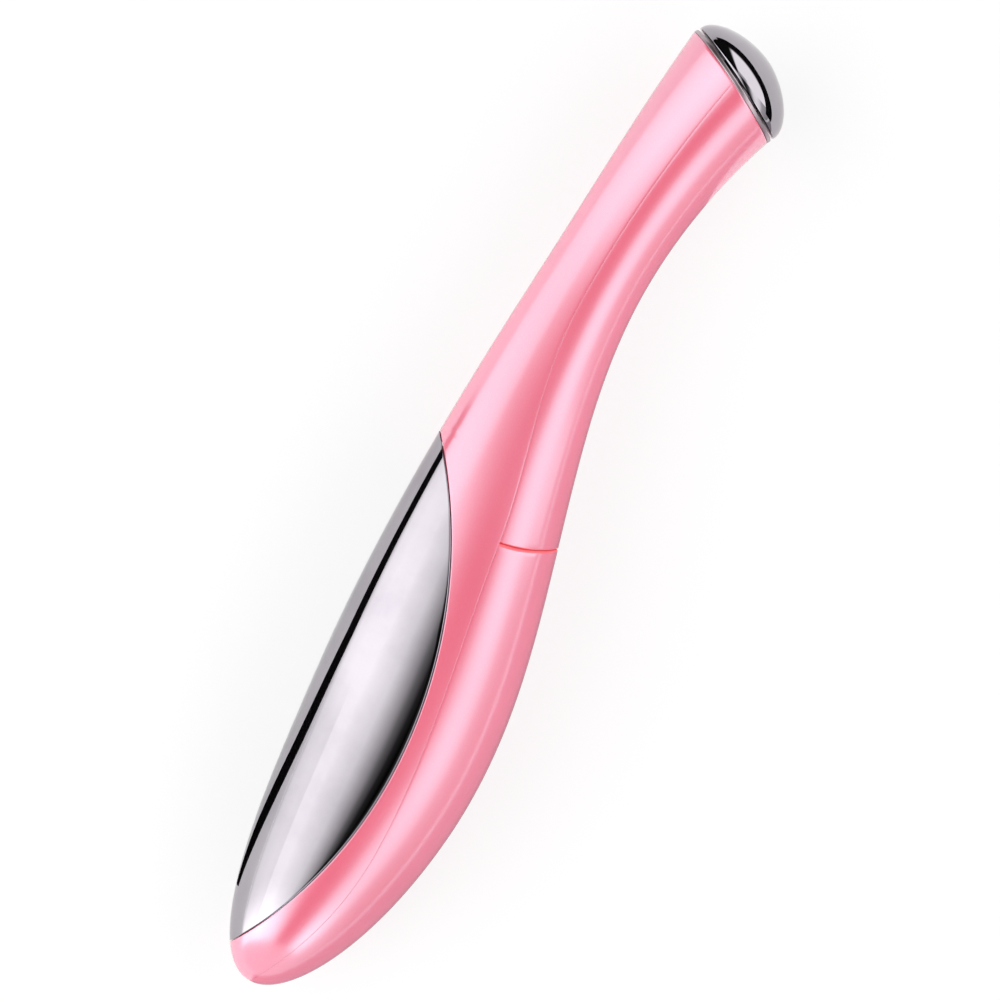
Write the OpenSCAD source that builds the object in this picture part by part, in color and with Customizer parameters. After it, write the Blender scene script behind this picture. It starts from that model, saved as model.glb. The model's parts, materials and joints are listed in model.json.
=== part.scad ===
// Heated eye massager wand.
// X runs along the wand towards the tip of the head, -Y is the chrome front,
// +Y the back with the battery cover, and Z runs across. The wand lies on its side.

/* [Wand outline] */
// Length of the handle, from the middle of the tail rim to the fullest section
handle_len = 97.8; // [90:0.1:106]
// Length of the nose, from the fullest section to the tip
nose_len = 45.2; // [43:0.1:50]
// Diameter of the round tail rim
tail_d = 18.8; // [18:0.1:21]
// Angle of the tail rim's plane from square
tail_tilt = 28; // [20:1:30]
// Length of handle over which the tail's tilt fades out
tilt_run = 60; // [50:1:70]
// Distance from the tail rim to the waist
waist_run = 27.8; // [24:0.1:32]
// Depth of the waist, front to back
waist_depth = 14.2; // [14:0.1:18]
// Width of the waist, side to side
waist_width = 12.8; // [12.6:0.1:16]
// Depth of the fullest section, front to back
belly_depth = 28; // [27.6:0.1:32]
// Width of the fullest section, side to side
belly_width = 24; // [23.6:0.1:27]
// Squareness of the belly's section, where 2 is a plain ellipse
belly_power = 2.3; // [2:0.05:2.6]
// Distance from the tail rim to the centre line's lowest place
bow_run = 37.8; // [33:0.1:42]
// Drop of the centre line from the tail rim to its lowest place
bow_drop = 4.05; // [3.4:0.05:4.6]
// Distance from the fullest section on to the centre line's crest
crest_run = 14; // [10:0.1:18]
// Rise of the centre line from its lowest place to its crest
crest_rise = 6.45; // [5.8:0.05:7]
// Drop of the centre line from its crest to the tip
tip_drop = 1.65; // [1:0.05:2.4]

/* [Walls and gaps] */
// Wall of the plastic casings
wall = 1.6; // [1.4:0.05:1.8]
// Wall of the metal head
head_wall = 1.2; // [1:0.05:1.4]
// Gap at the seams between casings
seam_gap = 0.12; // [0.08:0.01:0.2]
// Gap between inner pieces that only lie near each other
play = 0.1; // [0.05:0.01:0.15]
// Thickness of ribs and webs inside the casings
rib_t = 1.2; // [0.9:0.05:1.5]

/* [Head] */
// Height of the head edge's crest above the centre of the tail rim
head_crest_rise = 4.4; // [3.6:0.05:4.8]
// Distance from the fullest section on to the crest of the head's edge
head_crest_run = 10; // [7.5:0.1:12]
// Radius of the head's edge on its handle side
head_edge_r = 69; // [66:0.5:74]
// Radius of the head's edge on its tip side
head_tip_r = 61; // [58:0.5:64]
// Thickness of the sealing strip under the head's edge
seal_t = 0.5; // [0.4:0.05:0.7]
// Width of the sealing strip and its seat
seal_w = 1.5; // [1.2:0.1:1.8]
// Thickness of the ledge that carries the sealing strip
ledge_t = 1; // [0.8:0.05:1.2]
// Thickness of the heating film
film_t = 0.25; // [0.2:0.05:0.35]
// Length of the heating film
film_len = 46; // [45:0.5:48]
// Width of the heating film
film_w = 11; // [9:0.5:13]
// Diameter of the head's screw bosses
boss_d = 4.4; // [4:0.1:5]

/* [Battery cover] */
// Distance from the fullest section back to the cover's upper edge, on the middle line
cover_back = 29; // [27:0.1:29.8]
// Radius of the cover's bowed upper edge
cover_edge_r = 17.3; // [16:0.1:20]
// Height of the cover's upper corner above the centre of the tail rim
corner_rise = 2.1; // [1.6:0.05:2.6]
// Height of the cover seam's crest above the centre of the tail rim
seam_rise = 7.7; // [7.2:0.05:8.2]
// Depth that the cover's locating teeth reach past its seam
tooth_depth = 1.1; // [0.8:0.05:1.3]

/* [Battery bay] */
// Diameter of the cell
cell_d = 10.5; // [10.2:0.1:10.6]
// Length of the cell, with its nub
cell_len = 44.5; // [43.5:0.1:44.8]
// Height of the cell's nub
nub_h = 0.8; // [0.6:0.1:1]
// Diameter of the cell's nub
nub_d = 3.8; // [3.4:0.1:4.2]
// Distance from the fullest section back to the bay
bay_back = 21; // [20.4:0.1:21.4]
// Height of the cell's axis above the centre of the tail rim
cell_rise = 4.4; // [4.2:0.05:4.6]
// Play round the cell
cell_play = 0.25; // [0.2:0.05:0.4]
// Thickness of the contact plates
plate_t = 0.4; // [0.3:0.05:0.5]
// Width of the contact plates
plate_w = 7.2; // [6.4:0.1:7.4]
// Diameter of the contact spring's wire
spring_wire = 0.5; // [0.4:0.05:0.55]
// Length of the contact spring in use
spring_len = 3.6; // [3.4:0.1:3.8]
// Diameter of the contact spring's wide end
spring_d = 8; // [7.6:0.1:8.4]
// Diameter of the contact spring's narrow end
spring_small_d = 4; // [3.6:0.1:4.2]
// Turns of the contact spring
spring_turns = 3; // [2.5:0.5:3]
// Wall of the inner frame
frame_t = 1.2; // [1:0.05:1.3]

/* [Motor] */
// Diameter of the motor
motor_d = 6; // [5.6:0.1:6.2]
// Length of the motor's can
motor_len = 11; // [10:0.1:11.4]
// Wall of the motor's rubber sleeve
sleeve_t = 0.7; // [0.5:0.05:0.8]
// Diameter of the motor's shaft
shaft_d = 1; // [0.8:0.1:1.2]
// Radius of the off-centre weight
weight_r = 2.7; // [2.4:0.1:2.8]
// Length of the off-centre weight
weight_len = 4; // [3.5:0.1:4.2]
// Distance from the bay's upper end to the motor
motor_run = 5; // [4.6:0.1:5.6]
// Distance of the motor's axis from the cell's axis
motor_drop = 11.3; // [11.2:0.05:11.5]

/* [Electronics] */
// Length of the main board
board_len = 35; // [32:0.5:36]
// Width of the main board
board_w = 7.2; // [6.4:0.1:7.4]
// Thickness of the main board
board_t = 1; // [0.8:0.05:1.1]
// Distance of the main board's back face from the cell's axis
board_drop = 7.7; // [7.4:0.05:7.8]
// Diameter of the switch board
switch_board_d = 8.6; // [8:0.1:8.8]
// Thickness of the switch board
switch_board_t = 0.8; // [0.7:0.05:1]
// Width of the key switch's body
switch_w = 4.5; // [4:0.1:4.7]
// Height of the key switch's body
switch_h = 2; // [1.8:0.05:2.1]
// Diameter of the key switch's plunger
plunger_d = 2.2; // [1.8:0.1:2.6]
// Height of the key switch's plunger above its body
plunger_h = 0.65; // [0.55:0.05:0.7]
// Diameter of the battery leads
lead_d = 0.9; // [0.8:0.05:1]
// Diameter of the motor, heater and switch leads
thin_lead_d = 0.6; // [0.5:0.05:0.7]

/* [Tail button] */
// Travel of the button
travel = 0.3; // [0.25:0.05:0.45]
// Height of the button's dome above the trim ring
dome_h = 5.55; // [4.5:0.05:6]
// Height of the dome's straight side
dome_side = 0.4; // [0.3:0.05:1]
// Fullness of the dome, where 2 is an ellipse
dome_power = 1.75; // [1.7:0.05:2.5]
// Wall of the dome
dome_wall = 1.2; // [1:0.05:1.5]
// Height of the trim ring's visible band
ring_h = 0.6; // [0.5:0.05:1]
// Bore of the trim ring, which guides the button
ring_bore = 10; // [9.6:0.1:10.2]
// Wall of the trim ring's sleeve
ring_wall = 0.9; // [0.7:0.05:1]
// Length of the trim ring's sleeve inside the casing
ring_sleeve = 3.5; // [3.2:0.1:3.6]
// Radial running clearance of the button's stem
run_gap = 0.05; // [0.03:0.01:0.08]
// Wall of the button's stem
stem_wall = 1; // [0.8:0.05:1.1]

/* [Screws] */
// Diameter of the screws' shanks
screw_d = 1.6; // [1.4:0.1:1.8]
// Diameter of the screws' heads
screw_head_d = 3; // [2.8:0.1:3.2]
// Height of the screws' heads
screw_head_h = 0.9; // [0.7:0.05:1]
// Length of the screws under their heads
screw_len = 6; // [5:0.5:6.5]
// Distance from the fullest section on to the first head screw
head_screw_run = 7; // [6:0.5:9]
// Distance between the head screws
head_screw_pitch = 13; // [11:0.5:14]
// Distance from the bay's upper end back to the casing screw
case_screw_back = 4; // [3.8:0.1:4.2]

/* [Hidden] */

// Finishes
pink = [0.93, 0.47, 0.58];
chrome = [0.78, 0.78, 0.8];

// Larger than the wand's cross-section, for cutting blocks
far = 60;
// Sides of a section, rings along the handle and angle between rings on the nose,
// each for the outer form and for the forms inside it
ring_sides = [32, 20];
handle_rings = [18, 10];
nose_step = [10, 15];

// Places along X, measured from the middle of the tail rim, which is also where Y is 0
belly_x = handle_len;
tip_x = handle_len + nose_len;
waist_x = waist_run;
bow_x = bow_run;
crest_x = belly_x + crest_run;
head_crest_x = belly_x + head_crest_run;
cover_x = belly_x - cover_back;
bay_x = belly_x - bay_back;
// Half width of the wand at the cover's upper corners, and their place along it
corner_half_w = width_at(cover_x + 2, corner_rise);
corner_x = cover_x + cover_edge_r - sqrt(pow(cover_edge_r, 2) - pow(corner_half_w, 2));
// The cover's seam crests a little past the centre line
seam_crest_x = crest_x + 6.2;

// Button: depths along its axis from the tail rim
ring_gap = travel + 0.05;
bead_z = ring_sleeve + 0.15;
bead_h = 0.65;
post_z = bead_z;
plunger_z = post_z + 0.05;
plunger_seat = 1.3;
switch_z = plunger_z + plunger_h;
switch_board_z = switch_z + switch_h;
dome_rim_z = -(ring_h + ring_gap);
dome_r = tail_d / 2 - 0.05;
dome_steps = 12;
dome_line = [for (i = [0:dome_steps - 1]) dome_point(dome_r, dome_h, dome_side, 90 * i / dome_steps)];

// Reach of the whole wand, which sets where its frame lies
low_x = min([for (p = dome_line) (dome_rim_z + p[1]) * cos(tail_tilt) - p[0] * sin(tail_tilt)]);
outline_xs = ring_xs(0, handle_rings[0], nose_step[0]);
low_y = min([for (x = outline_xs) spine_y(x) - half_depth(x)]);
high_y = max([for (x = outline_xs) spine_y(x) + half_depth(x)]);

// Battery bay and inner frame
cell_y = cell_rise;
cell_x = bay_x + plate_t + spring_len;
trough_r = cell_d / 2 + cell_play;
trough_out_r = trough_r + frame_t;
trough_low_y = cell_y - trough_out_r;
bay_len = plate_t + spring_len + cell_len + plate_t + 0.1;
bay_end_x = bay_x + bay_len + frame_t;
tag_y = cell_y - plate_w / 2;
tag_z = -2.5;
boss_pad = 1.4;
head_seat_y = trough_low_y - 0.3;
head_screw_xs = [belly_x + head_screw_run, belly_x + head_screw_run + head_screw_pitch];
side_tab_xs = [for (i = [0:3]) corner_x + 12.5 + 10 * i];
side_tab_len = 5;
// Insets of the ledge that carries the sealing strip and of the rests' inner ends, and how
// far the ledge's root runs past the head's edge
ledge_inset = head_wall + seal_t + 2 * play;
ledge_root = 1.1;
rest_inset = ledge_inset + ledge_t + 1.1;

// Casing screw: its lug in the rear housing and its post on the frame
case_lug_t = 2.7;
case_screw_x = bay_x - case_screw_back;
case_screw_y = spine_y(case_screw_x) + half_depth(case_screw_x, wall + 0.3) - screw_head_h - 0.2;
case_lug_y = spine_y(case_screw_x) + half_depth(case_screw_x, wall + case_lug_t);
post_r = 2;

// Main board, and the tongue of the frame that carries it
standoff_h = 0.7;
board_back_y = cell_y - board_drop;
board_front_y = board_back_y - board_t;
board_mid_y = (board_back_y + board_front_y) / 2;
tongue_top_y = board_front_y - standoff_h;
tongue_low_y = tongue_top_y - frame_t;
board_end_x = case_screw_x - post_r - 2 * play;
board_x0 = board_end_x - board_len;
// Place, length, height and width of each part along the board
chips = [[on_board(0.13), 3.2, 1.1, 3.2], [on_board(0.385), 5, 1.5, 4],
         [on_board(0.54), 2.6, 0.9, 1.6], [on_board(0.77), 1.6, 0.8, 3.4]];

// Motor
motor_y = cell_y - motor_drop;
motor_x = bay_x + motor_run;
sleeve_r = motor_d / 2 + run_gap + sleeve_t;
weight_x = motor_x + motor_len + 1;

// Heating film and its sensor bead
film_x0 = bay_x + 2;
sensor_x = bay_x + 22.5;
sensor_d = 1.8;
sensor_len = 3.6;

// Ribs, rests, tongues and teeth inside the casings
stiffener_xs = [waist_x - 12, waist_x - 2];
rest_xs = [on_board(0.145), on_board(0.545)];
hold_xs = [on_board(0.255), on_board(0.655)];
tongue_xs = [waist_x - 15.6, waist_x - 6.6, cover_x - 35.8, cover_x - 20.8, cover_x - 7.3];
tooth_xs = [for (i = [0:4]) corner_x + 7.5 + 10 * i];
cover_web_xs = [for (i = [1:3]) bay_x + 14 * i];

// Contact spring, a cone of turns with straight legs at both ends
coil_rings = 8;
spring_leg = spring_wire;
coil_path = [for (i = [0:coil_rings * spring_turns]) coil_point(i / (coil_rings * spring_turns))];
coil_last = len(coil_path) - 1;
spring_path = concat([leg_point(0, 1, 0), leg_point(0, 1, spring_leg)],
                     coil_path,
                     [leg_point(coil_last, coil_last - 1, spring_len - spring_leg),
                      leg_point(coil_last, coil_last - 1, spring_len)]);
turn_gap = min([for (i = [0:coil_last], j = [i:coil_last])
                    if (j - i >= coil_rings / 2) norm(coil_path[i] - coil_path[j])]) - spring_wire;

// Place at a share of the main board's length
function on_board(share) = board_x0 + board_len * share;

// Smooth step from 0 to 1, level at both ends
function ease(t) = let (u = max(0, min(1, t))) u * u * (3 - 2 * u);
// Quick start and level end, from 0 to 1
function settle(t) = let (u = max(0, min(1, t))) 1 - (1 - u) * (1 - u);

// Height of the wand's centre line
function spine_y(x) =
    x < bow_x ? -bow_drop * settle(x / bow_x)
    : x < crest_x ? -bow_drop + crest_rise * ease((x - bow_x) / (crest_x - bow_x))
    : crest_rise - bow_drop - tip_drop * pow((x - crest_x) / (tip_x - crest_x), 2);

// Size of a section from tail to belly: a flare, a waist and a swell
function swell(x, tail, waist, belly) =
    x < waist_x ? tail + (waist - tail) * settle(x / waist_x)
    : waist + (belly - waist) * ease((x - waist_x) / (belly_x - waist_x));

// Half depth and half width of the section at x, drawn in by an inset
function half_depth(x, inset = 0) =
    x <= belly_x ? swell(x, tail_d, waist_depth, belly_depth) / 2 - inset
    : (belly_depth / 2 - inset) * nose_share(x, inset);
function half_width(x, inset = 0) =
    x <= belly_x ? swell(x, tail_d, waist_width, belly_width) / 2 - inset
    : (belly_width / 2 - inset) * nose_share(x, inset);
function nose_share(x, inset) = sqrt(max(0, 1 - pow((x - belly_x) / (nose_len - inset), 2)));

// Tilt of the sections, which fades out along the handle
function tilt(x) = tail_tilt * pow(1 - min(1, x / tilt_run), 2);
// Squareness of the sections: round at the tail, squarest at the belly, round again at the tip
function power(x) = 2 + (belly_power - 2) * (ease(x / belly_x) - ease((x - belly_x) / nose_len));
function bent(c, n) = sign(c) * pow(abs(c), 2 / n);

// Half width of the section at x, at height y
function width_at(x, y, inset = 0) =
    let (n = power(x), s = min(1, abs(y - spine_y(x)) / half_depth(x, inset)))
    half_width(x, inset) * pow(1 - pow(s, n), 1 / n);

// One ring of the loft
function section(x, inset, sides, slide = 0) =
    let (a = half_depth(x, inset), b = half_width(x, inset), t = tilt(x), n = power(x))
    [for (k = [0:sides - 1])
        let (f = 360 * k / sides, u = a * bent(cos(f), n), v = b * bent(sin(f), n))
        [x + u * sin(t) - slide * cos(t), spine_y(x) + u * cos(t) + slide * sin(t), v]];

// Places of the loft's rings: even along the handle, even in angle round the nose
function ring_xs(inset, rings, step) =
    concat([for (i = [0:rings]) belly_x * i / rings],
           [for (f = [step:step:90 - step / 2]) belly_x + (nose_len - inset) * sin(f)]);

// Point seen from the frame that is square to the tail rim
function from_rim(p) = [p[0] * cos(tail_tilt) - p[1] * sin(tail_tilt),
                        p[0] * sin(tail_tilt) + p[1] * cos(tail_tilt), p[2]];

// Closed loft of the wand's outer form drawn in by an inset, its tail end run out by ext.
// It is laid out square to the tail rim, which keeps its end exactly flat
module loft(inset, ext = 0) {
    grade = inset > 0 ? 1 : 0;
    n = ring_sides[grade];
    xs = ring_xs(inset, handle_rings[grade], nose_step[grade]);
    rings = [for (x = xs) section(x, inset, n, x == 0 ? ext : 0)];
    last = len(rings) - 1;
    nose_x = tip_x - inset;
    points = concat([for (r = rings) each r], [[nose_x, spine_y(nose_x), 0]]);
    sides = [for (i = [0:last - 1], k = [0:n - 1])
                let (j = (k + 1) % n, a = i * n, b = a + n)
                each [[a + k, b + k, b + j], [a + k, b + j, a + j]]];
    cap = [for (k = [1:n - 2]) [0, k, k + 1]];
    tip = [for (k = [0:n - 1]) [last * n + k, len(points) - 1, last * n + (k + 1) % n]];
    rotate([0, 0, -tail_tilt])
        polyhedron(points = [for (p = points) from_rim(p)], faces = concat(cap, sides, tip), convexity = 6);
}

// Skin of the wand between two insets
module skin(outer, inner) {
    difference() {
        loft(outer);
        loft(inner, 1);
    }
}

// Height of the parting line between front and back, and of the cover's seam after it
function seam_y(x) =
    let (after = (x - corner_x) / (seam_crest_x - corner_x),
         fall = min(1, (x - seam_crest_x) / (tip_x - seam_crest_x)))
    x < corner_x ? spine_y(x) + (corner_rise - spine_y(corner_x)) * ease((x - bow_x) / (corner_x - bow_x))
    : x < seam_crest_x ? corner_rise + (seam_rise - corner_rise) * rise(after)
    : seam_rise + (spine_y(tip_x) - seam_rise) * pow(fall, 2);
function rise(t) = sin(90 * t) * 0.65 + t * t * (3 - 2 * t) * 0.35;

// Everything in front of the parting line, or behind it when back is true
module seam_side(back, gap) {
    far_y = back ? far : -far;
    shift = back ? gap : -gap;
    line = [for (x = [-20:4:tip_x + 5]) [x, seam_y(x) + shift]];
    linear_extrude(height = far, center = true)
        polygon(concat([[-20, far_y]], line, [[tip_x + 5, far_y]]));
}

// Area of the head in side view, grown by a margin
module head_area(grow = 0) {
    translate([head_crest_x, head_crest_rise, 0]) {
        intersection() {
            translate([0, -head_edge_r]) circle(r = head_edge_r + grow, $fn = 96);
            translate([-2 * far, -2 * far]) square([2 * far, 3 * far]);
        }
        intersection() {
            translate([0, -head_tip_r]) circle(r = head_tip_r + grow, $fn = 84);
            translate([0, -2 * far]) square([2 * far, 3 * far]);
        }
    }
}
module head_side(grow = 0) {
    linear_extrude(height = far, center = true) head_area(grow);
}

// Everything past the bowed upper edge of the battery cover
module cover_side(grow = 0) {
    rotate([90, 0, 0]) linear_extrude(height = 2 * far, center = true) {
        translate([cover_x + cover_edge_r, 0]) circle(r = cover_edge_r + grow, $fn = 48);
        translate([cover_x + cover_edge_r, -far / 2]) square([2 * far, far]);
    }
}

// Frame on the tail rim: its +Z runs along the button's travel into the handle
module at_tail() {
    rotate([0, 0, -tail_tilt]) rotate([0, 90, 0]) children();
}

// Slab across the wand between two places along X
module slab(x, t) {
    translate([x - t / 2, -far / 2, -far / 2]) cube([t, far, far]);
}
// Block across the wand between two heights
module layer(y0, y1) {
    translate([-far, y0, -far / 2]) cube([5 * far, y1 - y0, far]);
}

// Rounded tabs through both side walls, between two heights given at each end
module tab(x, len, low, high) {
    round_r = 0.4;
    for (s = [-1, 1])
        hull()
            for (i = [0, 1], y = [low[i] + round_r, high[i] - round_r])
                translate([x + (i - 0.5) * (len - 2 * round_r), y, s * far / 4])
                    cylinder(r = round_r, h = far / 2, center = true, $fn = 8);
}
// Tabs that follow the parting line, between two distances from it
module seam_tab(x, len, low, high) {
    ends = [seam_y(x - len / 2), seam_y(x + len / 2)];
    tab(x, len, [ends[0] + low, ends[1] + low], [ends[0] + high, ends[1] + high]);
}
// Level tabs between two heights
module level_tab(x, len, low, high) {
    tab(x, len, [low, low], [high, high]);
}

module place() {
    translate([-(low_x + tip_x) / 2, -(low_y + high_y) / 2, belly_width / 2]) children();
}

// ---- Casings ----

// Web across a casing between two heights, rooted in the wall on its own side of the seam
module web(x, low, high, back) {
    intersection() {
        union() {
            loft(wall + 0.15);
            intersection() {
                skin(wall - 0.2, wall + 0.5);
                seam_side(back, seam_gap / 2 + 0.03);
            }
        }
        slab(x, rib_t);
        layer(low, high);
    }
}

// Collars at the tail: one round the ring's sleeve, one that holds the switch board
module tail_collars() {
    intersection() {
        loft(wall - 0.2);
        at_tail() difference() {
            union() {
                translate([0, 0, 0.2]) cylinder(d = tail_d, h = 1.4, $fn = 48);
                translate([0, 0, switch_board_z - rib_t])
                    cylinder(d = tail_d + 4, h = switch_board_t + 2 * rib_t, $fn = 48);
            }
            cylinder(d = switch_board_d - 1.2, h = 3 * far, center = true, $fn = 48);
            translate([0, 0, -1]) cylinder(d = ring_bore + 2 * ring_wall + 2 * play, h = 4, $fn = 48);
            translate([0, 0, switch_board_z - play])
                cylinder(d = switch_board_d + 2 * play, h = switch_board_t + 2 * play, $fn = 48);
        }
    }
}

module front_housing() {
    color(pink) difference() {
        union() {
            difference() {
                intersection() {
                    skin(0, wall);
                    seam_side(false, seam_gap / 2);
                }
                head_side(seam_gap);
            }
            // Ledge under the head's edge, and its root on the wall
            intersection() {
                skin(ledge_inset, ledge_inset + ledge_t);
                difference() {
                    head_side(ledge_root);
                    head_side(-seal_w);
                }
            }
            intersection() {
                skin(wall - 0.2, ledge_inset + ledge_t / 2);
                difference() {
                    head_side(ledge_root + 0.1);
                    head_side(seam_gap + 0.1);
                }
                seam_side(false, 1);
            }
            // Stiffeners round the handle and webs that the inner frame rests on
            intersection() {
                skin(wall - 0.2, wall + 0.9);
                union() for (x = stiffener_xs) slab(x, rib_t);
                seam_side(false, seam_gap / 2 + 0.03);
            }
            for (x = rest_xs) web(x, -far / 2, tongue_low_y - play, false);
            intersection() {
                tail_collars();
                seam_side(false, seam_gap / 2 + 0.03);
            }
            // Rests for the inner frame's side tabs
            intersection() {
                skin(ledge_inset + 0.3, rest_inset);
                union() for (x = side_tab_xs)
                    level_tab(x, side_tab_len + 1, side_tab_y(x) - 1.6, side_tab_y(x) - play);
            }
        }
    }
}
function side_tab_y(x) = head_edge_y(x) + 1.3;
function head_edge_y(x) =
    let (dx = x - head_crest_x, r = dx < 0 ? head_edge_r : head_tip_r)
    head_crest_rise - r + sqrt(r * r - dx * dx);

module rear_housing() {
    color(pink) union() {
        difference() {
            intersection() {
                skin(0, wall);
                seam_side(true, seam_gap / 2);
            }
            cover_side(seam_gap / 2);
        }
        // Tongues that reach past the parting line inside the front casing
        intersection() {
            skin(wall + 0.08, wall + 1);
            union() for (x = tongue_xs) seam_tab(x, 4, -1.4, 1.6);
        }
        intersection() {
            skin(wall - 0.2, wall + 0.6);
            union() for (x = tongue_xs) seam_tab(x, 3.8, 0.3, 1.5);
        }
        intersection() {
            skin(wall - 0.2, wall + 0.9);
            union() for (x = stiffener_xs) slab(x, rib_t);
            seam_side(true, seam_gap / 2 + 0.03);
        }
        for (x = hold_xs) web(x, board_back_y + play, far / 2, true);
        intersection() {
            tail_collars();
            seam_side(true, seam_gap / 2 + 0.03);
        }
        // Shelf under the cover's upper edge, with the casing screw's lug
        difference() {
            union() {
                intersection() {
                    skin(wall + 0.15, wall + 1.25);
                    seam_side(true, 1);
                    difference() {
                        cover_side(1.2);
                        cover_side(-2);
                    }
                }
                intersection() {
                    skin(wall - 0.2, wall + 0.8);
                    seam_side(true, 1.1);
                    difference() {
                        cover_side(1.3);
                        cover_side(0.3);
                    }
                }
                intersection() {
                    loft(wall + 0.15);
                    translate([cover_x, case_lug_y, -3])
                        cube([bay_x - frame_t - cover_x - 0.4, far, 6]);
                }
            }
            translate([case_screw_x, 0, 0]) rotate([-90, 0, 0])
                cylinder(d = screw_d + 0.3, h = far, $fn = 24);
            translate([case_screw_x, case_screw_y, 0]) rotate([-90, 0, 0])
                cylinder(d = screw_head_d + 0.3, h = far, $fn = 24);
        }
    }
}

module battery_cover() {
    color(pink) union() {
        intersection() {
            skin(0, wall);
            seam_side(true, seam_gap / 2);
            cover_side(-seam_gap / 2);
        }
        // Teeth inside the front casing's wall, and their roots
        intersection() {
            skin(wall + 0.5, wall + 1.5);
            union() for (x = tooth_xs) seam_tab(x, 4, -tooth_depth, 1.8);
        }
        intersection() {
            skin(wall - 0.2, wall + 1);
            union() for (x = tooth_xs) seam_tab(x, 3.8, 0.3, 1.7);
        }
        // Webs that keep the cell in its trough
        difference() {
            for (x = cover_web_xs) web(x, seam_rise + 0.5, far / 2, true);
            translate([0, cell_y, 0]) rotate([0, 90, 0])
                cylinder(r = cell_d / 2 + cell_play, h = 3 * far, $fn = 48);
        }
    }
}

module heated_head() {
    boss_low_y = trough_low_y - boss_pad - play;
    color(chrome) union() {
        intersection() {
            skin(0, head_wall);
            head_side(0);
        }
        intersection() {
            loft(head_wall - 0.4);
            difference() {
                union() {
                    for (x = head_screw_xs) {
                        translate([x, boss_low_y, 0]) rotate([90, 0, 0])
                            cylinder(d = boss_d, h = far, $fn = 24);
                        // Gussets that brace each boss
                        for (a = [0:90:270])
                            translate([x, 0, 0]) rotate([0, a, 0]) hull() {
                                translate([boss_d / 2 - 0.3, boss_low_y - 3, 0])
                                    cube([0.2, 0.1, 0.9], center = true);
                                translate([boss_d / 2 - 0.3, -far / 2, 0])
                                    cube([0.2, 0.1, 0.9], center = true);
                                translate([boss_d / 2 + 2, -far / 2, 0])
                                    cube([0.2, 0.1, 0.9], center = true);
                            }
                    }
                }
                for (x = head_screw_xs)
                    translate([x, boss_low_y + 1, 0]) rotate([90, 0, 0])
                        cylinder(d = screw_d + 0.12, h = screw_len, $fn = 24);
            }
        }
    }
}

module head_seal() {
    color([0.25, 0.25, 0.27]) intersection() {
        skin(head_wall + play / 2, head_wall + play / 2 + seal_t);
        difference() {
            head_side(-0.3);
            head_side(-seal_w);
        }
    }
}

module heater_film() {
    color([0.8, 0.5, 0.15]) difference() {
        intersection() {
            skin(head_wall + play / 2, head_wall + play / 2 + film_t);
            translate([film_x0, -far, -film_w / 2]) cube([film_len, far, film_w]);
        }
        for (x = head_screw_xs) {
            translate([x, 0, 0]) rotate([90, 0, 0]) cylinder(d = boss_d + 5.3, h = far, $fn = 24);
        }
    }
}

module temperature_sensor() {
    film_y = spine_y(sensor_x) - half_depth(sensor_x, head_wall + play / 2 + film_t);
    color([0.75, 0.35, 0.2])
        translate([sensor_x, film_y + sensor_d / 2 + 0.3, -sensor_len / 2])
            cylinder(d = sensor_d, h = sensor_len, $fn = 24);
}

// ---- Inner frame and battery ----

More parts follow.
